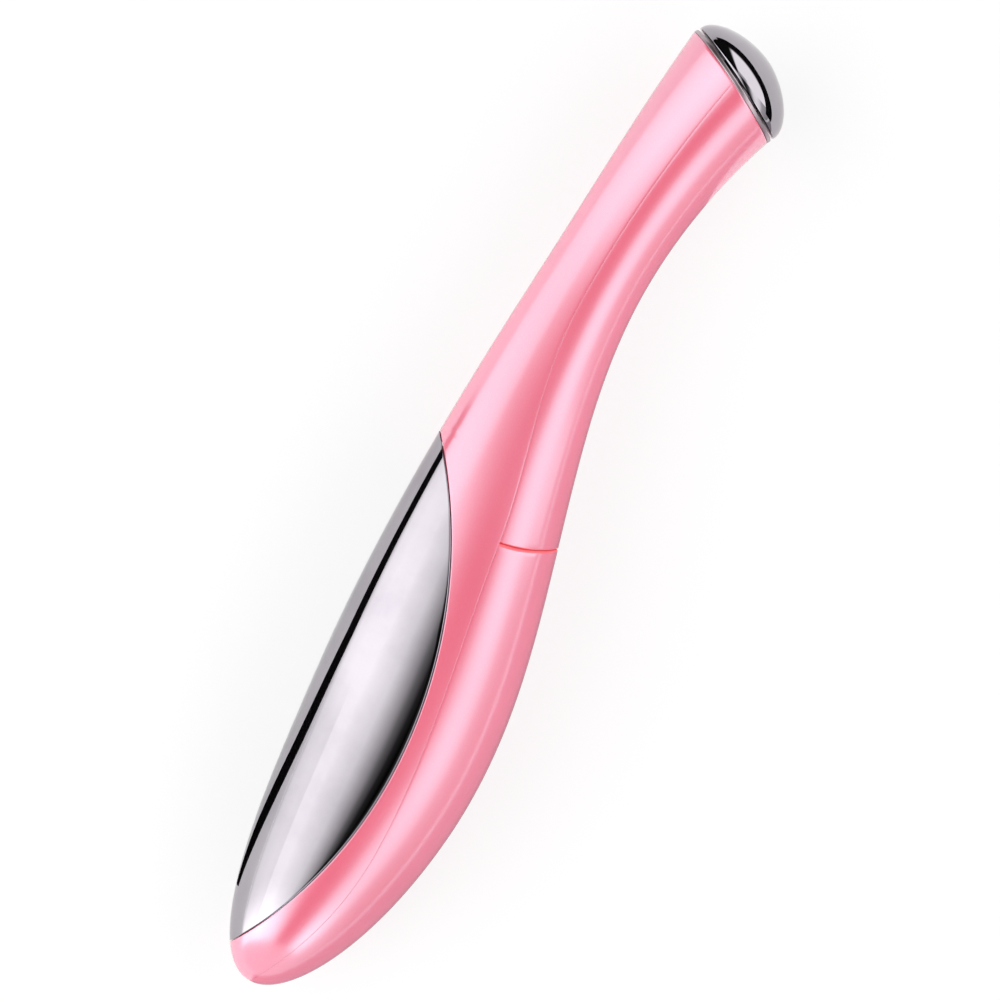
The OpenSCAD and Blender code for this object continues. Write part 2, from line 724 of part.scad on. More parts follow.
module chassis() {
    color([0.86, 0.87, 0.88]) difference() {
        union() {
            // Trough under the cell
            translate([bay_x - frame_t, cell_y, 0]) rotate([0, 90, 0])
                cylinder(r = trough_out_r, h = bay_len + 2 * frame_t, $fn = 64);
            for (x = head_screw_xs)
                translate([x, trough_low_y - boss_pad, 0]) rotate([-90, 0, 0])
                    cylinder(d = boss_d + 0.4, h = trough_out_r, $fn = 32);
            // Plate down from the trough's upper end, and the tongue that carries the board
            translate([bay_x - frame_t, tongue_low_y, -4]) cube([frame_t, cell_y - tongue_low_y, 8]);
            translate([board_x0 - 1, tongue_low_y, -2.8]) cube([bay_x - board_x0, frame_t, 5.6]);
            for (share = [0.085, 0.485, 0.855], z = [-2, 2])
                translate([on_board(share), tongue_low_y + 0.1, z]) rotate([-90, 0, 0])
                    cylinder(r = 0.7, h = frame_t - 0.1 + standoff_h - 0.05, $fn = 24);
            // Post for the casing screw
            translate([case_screw_x, tongue_low_y + 0.1, 0]) rotate([-90, 0, 0])
                cylinder(r = post_r, h = case_lug_y - 0.02 - tongue_low_y - 0.1, $fn = 32);
            // Ribs that grip the motor's sleeve
            for (x = [motor_x + 1.6, motor_x + motor_len - 2.8])
                translate([x, motor_y, -sleeve_r - 0.9])
                    cube([rib_t, cell_y - trough_r - motor_y, 2 * sleeve_r + 1.8]);
            // Side tabs on the front casing's rests
            for (x = side_tab_xs, s = [-1, 1])
                translate([x - side_tab_len / 2, side_tab_y(x), s > 0 ? 5 : -side_tab_z(x)])
                    cube([side_tab_len, frame_t, side_tab_z(x) - 5]);
        }
        // Bay for the cell, open to the back
        translate([bay_x, cell_y, 0]) rotate([0, 90, 0]) cylinder(r = trough_r, h = bay_len, $fn = 64);
        translate([bay_x, cell_y, -trough_r]) cube([bay_len, far, 2 * trough_r]);
        translate([bay_x - 2 * frame_t, cell_y + 3, -far / 2]) cube([bay_len + 4 * frame_t, far, far]);
        // Seat of the motor's sleeve
        translate([motor_x - 2, motor_y, 0]) rotate([0, 90, 0])
            cylinder(r = sleeve_r + 0.03, h = motor_len + 4, $fn = 48);
        // Holes for the screws
        for (x = head_screw_xs) {
            translate([x, -far / 2, 0]) rotate([-90, 0, 0])
                cylinder(d = screw_d + 0.2, h = far / 2 + cell_y, $fn = 24);
            translate([x, head_seat_y, 0]) rotate([-90, 0, 0])
                cylinder(d = screw_head_d + 0.3, h = cell_y - head_seat_y, $fn = 24);
        }
        translate([case_screw_x, case_lug_y - 6.5, 0]) rotate([-90, 0, 0])
            cylinder(d = screw_d + 0.12, h = 7, $fn = 24);
        // Slots for the contacts' solder tags
        translate([bay_x - 2 * frame_t, tag_y - 0.15, tag_z - 1.15])
            cube([3 * frame_t, plate_t + 0.3, 2.3]);
        translate([bay_x + bay_len - frame_t, tag_y - 0.15, -1.15]) cube([3 * frame_t, plate_t + 0.3, 2.3]);
    }
}
function side_tab_z(x) =
    min([for (s = [-1, 1]) width_at(x + s * side_tab_len / 2, side_tab_y(x), ledge_inset + ledge_t)]) - 0.3;

module battery_cell() {
    body_len = cell_len - nub_h;
    color([0.2, 0.3, 0.25]) translate([cell_x, cell_y, 0]) rotate([0, 90, 0]) rotate_extrude($fn = 64)
        polygon([[0, 0], [cell_d / 2 - 0.5, 0], [cell_d / 2, 0.5],
                 [cell_d / 2, body_len - 0.5], [cell_d / 2 - 0.5, body_len],
                 [nub_d / 2, body_len], [nub_d / 2, cell_len], [0, cell_len]]);
}

// ---- Swept wires ----

function unit(v) = v / norm(v);
function tangents(p) = [for (i = [0:len(p) - 1]) unit(p[min(i + 1, len(p) - 1)] - p[max(i - 1, 0)])];
function carry(n, t) = unit(n - (n * t) * t);
function normals(t, i = 0, n = [0.1, 0.2, 1], out = []) =
    i == len(t) ? out : let (m = carry(n, t[i])) normals(t, i + 1, m, concat(out, [m]));

// Round tube along a list of points
module wire(path, d, sides = 8) {
    t = tangents(path);
    n = normals(t);
    points = [for (i = [0:len(path) - 1], k = [0:sides - 1])
                path[i] + d / 2 * (cos(360 * k / sides) * n[i] + sin(360 * k / sides) * cross(t[i], n[i]))];
    last = len(path) - 1;
    side_faces = [for (i = [0:last - 1], k = [0:sides - 1])
                    let (j = (k + 1) % sides, a = i * sides, b = a + sides)
                    each [[a + k, b + k, b + j], [a + k, b + j, a + j]]];
    low_cap = [for (k = [1:sides - 2]) [0, k, k + 1]];
    high_cap = [for (k = [1:sides - 2]) [last * sides, last * sides + k + 1, last * sides + k]];
    polyhedron(points = points, faces = concat(low_cap, side_faces, high_cap), convexity = 8);
}

// Smooth curve through hand-set points, with a few steps between each pair
function curve(p, steps = 4) =
    concat([for (i = [0:len(p) - 2], s = [0:steps - 1]) blend_point(p, i, s / steps)], [p[len(p) - 1]]);
function blend_point(p, i, t) =
    let (a = p[max(i - 1, 0)], b = p[i], c = p[i + 1], d = p[min(i + 2, len(p) - 1)])
    0.5 * (2 * b + (c - a) * t + (2 * a - 5 * b + 4 * c - d) * t * t + (3 * b - a - 3 * c + d) * t * t * t);
function lead(p, steps = 4) =
    let (n = len(p)) concat([p[0]], curve([for (i = [1:n - 2]) p[i]], steps), [p[n - 1]]);
function both_sides(p) = [for (s = [-1, 1]) [for (q = p) [q[0], q[1], s * q[2]]]];

function coil_point(f) =
    let (r = spring_d / 2 + (spring_small_d - spring_d) / 2 * f, a = 360 * spring_turns * f)
    [spring_leg + 0.3 + (spring_len - 2 * spring_leg - 0.6) * f, r * cos(a), r * sin(a)];
function leg_point(i, j, dx) = [dx, coil_path[i][1] - 0.1 * (coil_path[j][1] - coil_path[i][1]),
                                coil_path[i][2] - 0.1 * (coil_path[j][2] - coil_path[i][2])];

module battery_spring() {
    echo(least_gap_between_spring_turns = turn_gap);
    color([0.75, 0.75, 0.72]) translate([bay_x + plate_t, cell_y, 0]) wire(spring_path, spring_wire, 6);
}

module spring_plate() {
    color([0.8, 0.79, 0.74]) union() {
        translate([bay_x, cell_y - plate_w / 2, -plate_w / 2]) cube([plate_t, plate_w, plate_w]);
        translate([bay_x - frame_t - 1.4, tag_y, tag_z - 1]) cube([frame_t + 1.5, plate_t, 2]);
    }
}

module positive_contact() {
    plate_x = bay_x + bay_len - plate_t;
    color([0.8, 0.79, 0.74]) union() {
        translate([plate_x, cell_y - plate_w / 2, -plate_w / 2]) cube([plate_t, plate_w, plate_w]);
        translate([plate_x, tag_y, -1]) cube([plate_t + frame_t + 1.4, plate_t, 2]);
    }
}

// ---- Vibration motor ----

module along_motor(x) {
    translate([x, motor_y, 0]) rotate([0, 90, 0]) children();
}

module motor_can() {
    color([0.8, 0.8, 0.82]) along_motor(motor_x) difference() {
        cylinder(d = motor_d, h = motor_len, $fn = 48);
        translate([0, 0, 1]) cylinder(d = shaft_d + 2 * run_gap, h = motor_len, $fn = 32);
    }
}

module motor_endcap() {
    color([0.15, 0.4, 0.75]) along_motor(motor_x - 0.9) cylinder(d = motor_d - 0.4, h = 0.9, $fn = 48);
}

module motor_sleeve() {
    color([0.12, 0.12, 0.13]) along_motor(motor_x + 0.4) difference() {
        cylinder(r = sleeve_r, h = motor_len - 1, $fn = 48);
        translate([0, 0, -1]) cylinder(d = motor_d + 2 * run_gap, h = motor_len + 2, $fn = 48);
    }
}

module motor_shaft() {
    color([0.7, 0.7, 0.72]) along_motor(motor_x + 2)
        cylinder(d = shaft_d, h = motor_len - 1 + weight_len + 0.6, $fn = 32);
}

module eccentric_weight() {
    color([0.55, 0.53, 0.5]) along_motor(weight_x) difference() {
        union() {
            cylinder(d = shaft_d + 1.2, h = weight_len, $fn = 32);
            intersection() {
                cylinder(r = weight_r, h = weight_len, $fn = 48);
                translate([0, -weight_r, 0]) cube([weight_r, 2 * weight_r, weight_len]);
            }
        }
        translate([0, 0, -1]) cylinder(d = shaft_d + 0.02, h = weight_len + 2, $fn = 32);
    }
}

// ---- Electronics ----

module main_board() {
    color([0.1, 0.35, 0.2])
        translate([board_x0, board_front_y, -board_w / 2]) cube([board_len, board_t, board_w]);
}

module board_chips() {
    color([0.13, 0.13, 0.14]) for (c = chips)
        translate([c[0] - c[1] / 2, board_back_y, -c[3] / 2]) cube([c[1], c[2], c[3]]);
}

module boost_coil() {
    color([0.3, 0.3, 0.32]) translate([on_board(0.885), board_back_y, 0]) rotate([-90, 0, 0]) union() {
        cylinder(d = 4, h = 0.6, $fn = 32);
        cylinder(d = 3, h = 2, $fn = 32);
        translate([0, 0, 1.9]) cylinder(d = 4, h = 0.6, $fn = 32);
    }
}

module switch_board() {
    color([0.1, 0.35, 0.2]) at_tail() translate([0, 0, switch_board_z])
        cylinder(d = switch_board_d, h = switch_board_t, $fn = 48);
}

module key_switch() {
    color([0.2, 0.2, 0.22]) at_tail() difference() {
        translate([-switch_w / 2, -switch_w / 2, switch_z]) cube([switch_w, switch_w, switch_h]);
        translate([0, 0, switch_z - 1])
            cylinder(d = plunger_d + 2 * run_gap, h = 1 + plunger_seat, $fn = 32);
    }
}

module switch_plunger() {
    depth = plunger_seat - travel - 0.1;
    color([0.9, 0.9, 0.88]) at_tail() translate([0, 0, plunger_z])
        cylinder(d = plunger_d, h = plunger_h + depth, $fn = 32);
}

// ---- Tail ----

module tail_ring() {
    color(chrome) at_tail() difference() {
        union() {
            translate([0, 0, -ring_h]) cylinder(d = tail_d, h = ring_h, $fn = 96);
            cylinder(d = ring_bore + 2 * ring_wall, h = ring_sleeve, $fn = 64);
        }
        translate([0, 0, -far]) cylinder(d = ring_bore, h = 2 * far, $fn = 64);
    }
}

function dome_point(r, h, side, f) =
    [r * pow(1 - pow(sin(f), dome_power), 1 / dome_power), -side - (h - side) * sin(f)];
module dome_profile(r, h, side) {
    polygon(concat([[0, 0], [r, 0]],
                   [for (i = [0:dome_steps - 1]) dome_point(r, h, side, 90 * i / dome_steps)], [[0, -h]]));
}

module power_button() {
    stem_r = ring_bore / 2 - run_gap;
    rim_t = 0.9;
    color(chrome) at_tail() union() {
        translate([0, 0, dome_rim_z]) difference() {
            rotate_extrude($fn = 96) dome_profile(dome_r, dome_h, dome_side);
            rotate_extrude($fn = 64)
                translate([0, 0.01]) dome_profile(dome_r - dome_wall, dome_h - dome_wall, dome_side);
        }
        // Guided stem with its retaining bead
        translate([0, 0, dome_rim_z - rim_t]) difference() {
            union() {
                cylinder(r = dome_r - dome_wall + 0.2, h = rim_t, $fn = 64);
                cylinder(r = stem_r, h = bead_z + bead_h - dome_rim_z + rim_t, $fn = 64);
                translate([0, 0, bead_z - dome_rim_z + rim_t])
                    cylinder(r = stem_r + 0.35, h = bead_h, $fn = 64);
            }
            translate([0, 0, -1]) cylinder(r = stem_r - stem_wall, h = far, $fn = 48);
            // Slots that let the bead spring through the bore
            for (a = [0, 90])
                rotate([0, 0, a + 45]) translate([-far / 2, -0.6, rim_t - dome_rim_z + 1.2])
                    cube([far, 1.2, far]);
        }
        // Post that presses the switch
        translate([0, 0, dome_rim_z - dome_h + dome_wall / 2])
            cylinder(r = 1.2, h = post_z - dome_rim_z + dome_h - dome_wall / 2, $fn = 32);
    }
}

// ---- Screws and leads ----

// Pan head on a plain shank, its seat at the origin and its shank along -Y
module screw() {
    rotate([90, 0, 0]) union() {
        cylinder(d = screw_d, h = screw_len, $fn = 32);
        translate([0, 0, -screw_head_h]) difference() {
            cylinder(d = screw_head_d, h = screw_head_h, $fn = 32);
            for (a = [0, 90]) rotate([0, 0, a]) translate([-0.8, -0.2, -0.1]) cube([1.6, 0.4, 0.5]);
        }
    }
}

module head_screws() {
    color([0.7, 0.7, 0.68]) for (x = head_screw_xs) translate([x, head_seat_y + 0.02, 0]) screw();
}

module case_screw() {
    color([0.7, 0.7, 0.68]) translate([case_screw_x, case_screw_y + 0.02, 0]) screw();
}

module red_lead() {
    color([0.8, 0.1, 0.1]) wire(lead([
        [bay_end_x + 0.9, tag_y, 0], [bay_end_x + 0.9, tag_y - 1, 0],
        [bay_end_x + 0.7, tag_y - 3.2, 1.6], [bay_end_x - 4, trough_low_y - 1.7, trough_out_r - 2.3],
        [bay_end_x - 14, trough_low_y - 1.3, trough_out_r - 0.5],
        [bay_x + 22, trough_low_y - 1.1, trough_out_r - 0.1],
        [bay_x + 6, trough_low_y - 1.3, trough_out_r - 0.5], [bay_x - 1, trough_low_y - 0.9, 5.2],
        [board_end_x + 1.6, board_back_y + 1.2, 4.2], [board_end_x - 0.6, board_back_y + 1.9, 3.1],
        [board_end_x - 1.4, board_back_y + 1, 2.9], [board_end_x - 1.4, board_back_y, 2.9]], 3), lead_d, 6);
}

module black_lead() {
    color([0.1, 0.1, 0.1]) wire(lead([
        [bay_x - frame_t - 0.9, tag_y, tag_z], [bay_x - frame_t - 0.9, tag_y - 0.9, tag_z],
        [bay_x - frame_t - 1.6, tag_y - 1.9, tag_z - 0.6], [board_end_x + 0.2, board_back_y + 1.7, -3.2],
        [board_end_x - 1.4, board_back_y + 1, -2.9], [board_end_x - 1.4, board_back_y, -2.9]], 3), lead_d, 6);
}

module motor_leads() {
    color([0.2, 0.3, 0.7]) for (p = both_sides([
        [motor_x - 0.9, motor_y, 1.4], [motor_x - 1.9, motor_y, 1.4], [motor_x - 3.6, motor_y - 0.6, 2.6],
        [bay_x - 1.2, motor_y - 0.7, 4.8], [board_end_x + 1.8, board_front_y - 0.8, 4.6],
        [board_end_x + 1.2, board_mid_y, 3.2], [board_end_x + 0.6, board_mid_y, 2.7],
        [board_end_x, board_mid_y, 2.7]]))
        wire(lead(p, 3), thin_lead_d, 6);
}

module heater_leads() {
    film_y = spine_y(film_x0 + 1.5) - half_depth(film_x0 + 1.5, head_wall + play / 2 + film_t);
    color([0.85, 0.7, 0.2]) for (p = both_sides([
        [film_x0 + 1.5, film_y + 0.32, 1.6], [film_x0 + 1.5, film_y + 0.9, 1.6],
        [film_x0 - 1.5, film_y + 2.4, 2.4], [bay_x - 4, motor_y - 1.9, 3.9],
        [board_end_x - 0.6, board_front_y - 1.6, 5.2], [board_end_x - 2.6, board_mid_y, 5],
        [board_end_x - 3, board_mid_y, 4.3], [board_end_x - 3, board_mid_y, 3.6]]))
        wire(lead(p, 3), thin_lead_d, 6);
}

// Point on the back of the switch board
function tail_point(depth, side) =
    [depth * cos(tail_tilt), -depth * sin(tail_tilt), side];
module switch_leads() {
    board_back_z = switch_board_z + switch_board_t;
    color([0.85, 0.85, 0.85]) for (p = both_sides([
        tail_point(board_back_z, 1.3), tail_point(board_back_z + 1, 1.3),
        [waist_x - 15.8, board_mid_y - 1.2, 1.5], [waist_x - 7.8, board_mid_y - 1.3, 1.6],
        [board_x0 - 5, board_mid_y, 1.8], [board_x0 - 1, board_mid_y, 1.8], [board_x0, board_mid_y, 1.8]]))
        wire(lead(p, 3), thin_lead_d, 6);
}

place() front_housing();
place() rear_housing();
place() battery_cover();
place() heated_head();
place() head_seal();
place() heater_film();
place() temperature_sensor();
place() chassis();
place() battery_cell();
place() battery_spring();
place() spring_plate();
place() positive_contact();
place() motor_can();
place() motor_endcap();
place() motor_sleeve();
place() motor_shaft();
place() eccentric_weight();
place() main_board();
place() board_chips();
place() boost_coil();
place() switch_board();
place() key_switch();
place() switch_plunger();
place() tail_ring();
place() power_button();
place() head_screws();
place() case_screw();
place() red_lead();
place() black_lead();
place() motor_leads();
place() heater_leads();
place() switch_leads();
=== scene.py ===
"""Looks of the heated eye massager wand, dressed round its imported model.

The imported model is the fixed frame. The casings, the chrome head, the tail and the
inner works are classes that build smooth shells and small parts over it, and every
piece and every part carried over from the frame gets a procedural finish. The studio
and the camera of the product picture come last. Sizes are in millimetres, measured
from the middle of the tail rim as in the CAD source, unless a name says otherwise.
"""

import json
import logging
import math
from collections.abc import Callable, Sequence
from dataclasses import dataclass, field
from enum import Enum
from functools import cached_property

import bmesh
import bpy
import numpy as np
from mathutils import Matrix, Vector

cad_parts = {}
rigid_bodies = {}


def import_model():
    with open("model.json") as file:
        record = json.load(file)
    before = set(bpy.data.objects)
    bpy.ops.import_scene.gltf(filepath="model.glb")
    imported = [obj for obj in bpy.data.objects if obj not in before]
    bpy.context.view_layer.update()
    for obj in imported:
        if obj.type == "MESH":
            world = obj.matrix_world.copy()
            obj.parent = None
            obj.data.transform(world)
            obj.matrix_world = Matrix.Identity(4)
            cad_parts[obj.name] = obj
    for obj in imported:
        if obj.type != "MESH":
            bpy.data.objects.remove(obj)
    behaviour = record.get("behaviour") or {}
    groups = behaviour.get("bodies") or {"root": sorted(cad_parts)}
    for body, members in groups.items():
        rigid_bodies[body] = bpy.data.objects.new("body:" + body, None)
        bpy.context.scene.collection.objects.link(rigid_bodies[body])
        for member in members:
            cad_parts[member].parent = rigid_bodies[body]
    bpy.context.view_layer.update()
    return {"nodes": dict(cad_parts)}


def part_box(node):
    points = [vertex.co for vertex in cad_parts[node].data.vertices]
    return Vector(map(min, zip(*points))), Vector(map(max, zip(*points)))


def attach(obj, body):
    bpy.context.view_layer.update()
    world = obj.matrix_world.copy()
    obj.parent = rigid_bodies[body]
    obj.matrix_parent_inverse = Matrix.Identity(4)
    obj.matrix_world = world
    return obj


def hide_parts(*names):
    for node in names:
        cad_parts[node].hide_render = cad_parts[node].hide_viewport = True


LOG = logging.getLogger("eye_wand")
MM = 0.001
Array = np.ndarray

WELD = 2e-6  # distance in metres at which points are joined
SPECK = 1e-7  # length in metres under which an edge is dissolved
SHELL_SHARP = 38.0  # angle in degrees past which an edge of a shell stays sharp
WIRE_SHARP = 40.0  # the same for wires and solder joints
RIM_R = 0.2  # round-over of rims and of the cover's bowed edge
SEAM_SHADE_BAND = 0.26  # width of the band of painted seam shade along the cover's bowed edge
SEAM_SHADE_END = 6.0  # how far along X from the bow's centre the band of painted seam shade ends
END_ROOM = 0.4  # how far from the rim or the tip the plain rows of a shell start or end
STIFFENER_RUNS = (15.8, 25.8)  # places of the ribs round the handle
STIFFENER_T = 1.2  # their thickness
ROOT = 0.2  # how far tabs and ribs reach into the wall that carries them


# ---- Form of the wand ----


def ease(t: Array) -> Array:
    """Smooth step from 0 to 1, level at both ends."""
    u = np.clip(t, 0.0, 1.0)
    return u * u * (3 - 2 * u)


def settle(t: Array) -> Array:
    """Quick start and level end, from 0 to 1."""
    u = np.clip(t, 0.0, 1.0)
    return 1 - (1 - u) ** 2


def bent(c: Array, n: Array) -> Array:
    """Coordinate of a superellipse of power n for the cosine or sine c."""
    return np.sign(c) * np.abs(c) ** (2.0 / n)


@dataclass(frozen=True)
class WandForm:
    """Outer form of the wand, with the sizes of the CAD source.

    A place along the wand is a station: millimetres up to the fullest section, and
    past it the angle round the nose in degrees, added to the handle's length.
    """

    handle_len: float = 97.8
    nose_len: float = 45.2
    tail_d: float = 18.8
    tail_tilt: float = 28.0
    tilt_run: float = 60.0
    waist_run: float = 27.8
    waist_depth: float = 14.2
    waist_width: float = 12.8
    belly_depth: float = 28.0
    belly_width: float = 24.0
    belly_power: float = 2.3
    bow_run: float = 37.8
    bow_drop: float = 4.05
    crest_run: float = 14.0
    crest_rise: float = 6.45
    tip_drop: float = 1.65
    wall: float = 1.6
    head_wall: float = 1.2
    seam_gap: float = 0.12
    cover_back: float = 29.0
    cover_edge_r: float = 17.3
    corner_rise: float = 2.1
    seam_rise: float = 7.7
    seam_past_crest: float = 6.2
    head_crest_rise: float = 4.4
    head_crest_run: float = 10.0
    head_edge_r: float = 69.0
    head_tip_r: float = 61.0

    @property
    def tip_x(self) -> float:
        """Place of the tip."""
        return self.handle_len + self.nose_len

    @property
    def tip_station(self) -> float:
        """Station of the tip, a quarter turn round the nose."""
        return self.handle_len + 90.0

    @property
    def crest_x(self) -> float:
        """Place of the centre line's crest."""
        return self.handle_len + self.crest_run

    @property
    def head_crest_x(self) -> float:
        """Place of the crest of the head's edge."""
        return self.handle_len + self.head_crest_run

    @property
    def cover_x(self) -> float:
        """Place of the cover's upper edge on the middle line."""
        return self.handle_len - self.cover_back

    @property
    def bow_centre(self) -> float:
        """Centre along X of the cover's bowed upper edge."""
        return self.cover_x + self.cover_edge_r

    def place(self, s: Array, inset: Array) -> Array:
        """Place along X of a station on the form drawn in by an inset."""
        nose = self.handle_len + (self.nose_len - inset) * np.sin(np.radians(s - self.handle_len))
        return np.where(s <= self.handle_len, s, nose)

    def share(self, s: Array) -> Array:
        """Share of the full section that is left at a station round the nose."""
        return np.where(s <= self.handle_len, 1.0, np.cos(np.radians(s - self.handle_len)))

    def spine(self, x: Array) -> Array:
        """Height of the wand's centre line."""
        first = -self.bow_drop * settle(x / self.bow_run)
        rise = -self.bow_drop + self.crest_rise * ease((x - self.bow_run) / (self.crest_x - self.bow_run))
        fall = (x - self.crest_x) / (self.tip_x - self.crest_x)
        nose = self.crest_rise - self.bow_drop - self.tip_drop * fall**2
        return np.where(x < self.bow_run, first, np.where(x < self.crest_x, rise, nose))

    def swell(self, x: Array, tail: float, waist: float, belly: float) -> Array:
        """Size of a section from tail to belly: a flare, a waist and a swell."""
        flare = tail + (waist - tail) * settle(x / self.waist_run)
        full = waist + (belly - waist) * ease((x - self.waist_run) / (self.handle_len - self.waist_run))
        return np.where(x < self.waist_run, flare, full)

    def half_depth(self, x: Array) -> Array:
        """Half of the section's depth, from back to front."""
        return self.swell(x, self.tail_d, self.waist_depth, self.belly_depth) / 2

    def half_width(self, x: Array) -> Array:
        """Half of the section's width, from side to side."""
        return self.swell(x, self.tail_d, self.waist_width, self.belly_width) / 2

    def power(self, x: Array) -> Array:
        """Squareness of the section: round at the tail and the tip, squarest at the belly."""
        return 2 + (self.belly_power - 2) * (
            ease(x / self.handle_len) - ease((x - self.handle_len) / self.nose_len)
        )

    def point(self, s: Array, f: Array, inset: Array) -> Array:
        """Points of the form.

        Args:
            s: stations.
            f: angles round the section in degrees, 0 at the back and 180 at the front.
            inset: how far the form is drawn in.

        Returns:
            The points in millimetres, with a last axis of three.
        """
        s, f, inset = np.broadcast_arrays(s, f, inset)
        x = self.place(s, inset)
        share = self.share(s)
        a = (self.half_depth(x) - inset) * share
        b = (self.half_width(x) - inset) * share
        t = np.radians(self.tail_tilt * (1 - np.minimum(1, x / self.tilt_run)) ** 2)
        n = self.power(x)
        u = a * bent(np.cos(np.radians(f)), n)
        v = b * bent(np.sin(np.radians(f)), n)
        return np.stack([x + u * np.sin(t), self.spine(x) + u * np.cos(t), v], axis=-1)

    def seam(self, x: Array) -> Array:
        """Height of the parting line between front and back, and of the cover's seam."""
        corner = self.corner_x
        crest = self.crest_x + self.seam_past_crest
        lead = self.spine(x) + (self.corner_rise - self.spine(np.float64(corner))) * ease(
            (x - self.bow_run) / (corner - self.bow_run)
        )
        t = np.clip((x - corner) / (crest - corner), 0, 1)
        rise = np.sin(np.radians(90 * t)) * 0.65 + t * t * (3 - 2 * t) * 0.35
        flank = self.corner_rise + (self.seam_rise - self.corner_rise) * rise
        fall = np.clip((x - crest) / (self.tip_x - crest), 0, 1)
        nose = self.seam_rise + (self.spine(np.float64(self.tip_x)) - self.seam_rise) * fall**2
        return np.where(x < corner, lead, np.where(x < crest, flank, nose))

    @cached_property
    def corner_x(self) -> float:
        """Place of the cover's upper corners."""
        x = np.float64(self.cover_x + 2)
        n = self.power(x)
        s = abs(self.corner_rise - self.spine(x)) / self.half_depth(x)
        half = self.half_width(x) * (1 - s**n) ** (1 / n)
        return float(self.bow_centre - math.sqrt(self.cover_edge_r**2 - half**2))

    def head_edge(self, x: Array, grow: float = 0.0) -> Array:
        """Height of the head's edge in side view, its arcs grown by a margin."""
        dx = x - self.head_crest_x
        r = np.where(dx < 0, self.head_edge_r, self.head_tip_r)
        return self.head_crest_rise - r + np.sqrt(np.maximum((r + grow) ** 2 - dx**2, 0))

    def angle_where(self, s: Array, inset: Array, height: Callable[[Array], Array]) -> Array:
        """Angle at which sections cross a line that is told as a height over X.

        Args:
            s: stations.
            inset: how far the form is drawn in.
            height: the line's height at places along X.

        Returns:
            Angles from 0 to 180 degrees, held at either end where there is no crossing.
        """
        s, inset = np.broadcast_arrays(np.asarray(s, float), np.asarray(inset, float))
        low, high = np.zeros(s.shape), np.full(s.shape, 180.0)
        for _ in range(34):
            mid = (low + high) / 2
            p = self.point(s, mid, inset)
            above = p[..., 1] > height(p[..., 0])
            low, high = np.where(above, mid, low), np.where(above, high, mid)
        middle = (low + high) / 2
        return np.where(middle > 179.99, 180.0, np.where(middle < 0.01, 0.0, middle))

    @cached_property
    def shift(self) -> Array:
        """Move from the tail rim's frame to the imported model's frame."""
        r, h, side, p = TAIL.dome_r, TAIL.dome_h, TAIL.dome_side, TAIL.dome_power
        f = np.radians(np.arange(12) * 90 / 12)
        radius = r * (1 - np.sin(f) ** p) ** (1 / p)
        depth = TAIL.dome_rim_z - side - (h - side) * np.sin(f)
        tilt = math.radians(self.tail_tilt)
        low_x = float(np.min(depth * math.cos(tilt) - radius * math.sin(tilt)))
        s = np.concatenate([np.arange(19) / 18 * self.handle_len, self.handle_len + np.arange(10, 90, 10)])
        x = self.place(s, np.float64(0))
        half = self.half_depth(x) * self.share(s)
        low_y, high_y = float(np.min(self.spine(x) - half)), float(np.max(self.spine(x) + half))
        return np.array([-(low_x + self.tip_x) / 2, -(low_y + high_y) / 2, self.belly_width / 2])


@dataclass(frozen=True)
class TailSizes:
    """Sizes of the tail button and its trim ring, along the tail's axis from the rim."""

    travel: float = 0.3
    dome_h: float = 5.55
    dome_side: float = 0.4
    dome_power: float = 1.75
    dome_wall: float = 1.2
    dome_r: float = 9.35
    ring_h: float = 0.6
    ring_bore: float = 10.0
    ring_wall: float = 0.9
    ring_sleeve: float = 3.5
    ring_r: float = 9.4
    run_gap: float = 0.05
    stem_wall: float = 1.0
    rim_t: float = 0.9
    bead_z: float = 3.65
    bead_h: float = 0.65
    post_r: float = 1.2

    @property
    def dome_rim_z(self) -> float:
        """Depth of the dome's rim, which hangs its travel above the trim ring."""
        return -(self.ring_h + self.travel + 0.05)


TAIL = TailSizes()
FORM = WandForm()


# ---- Mesh making ----


def placed(name: str, data: bpy.types.ID) -> bpy.types.Object:
    """A new object with its data, linked to the scene."""
    obj = bpy.data.objects.new(name, data)
    bpy.context.scene.collection.objects.link(obj)
    return obj


def smoothed(mesh: bpy.types.Mesh, sharp: float) -> None:
    """Shades a mesh smooth, apart from edges past an angle in degrees."""
    mesh.polygons.foreach_set("use_smooth", [True] * len(mesh.polygons))
    mesh.set_sharp_from_angle(angle=math.radians(sharp))


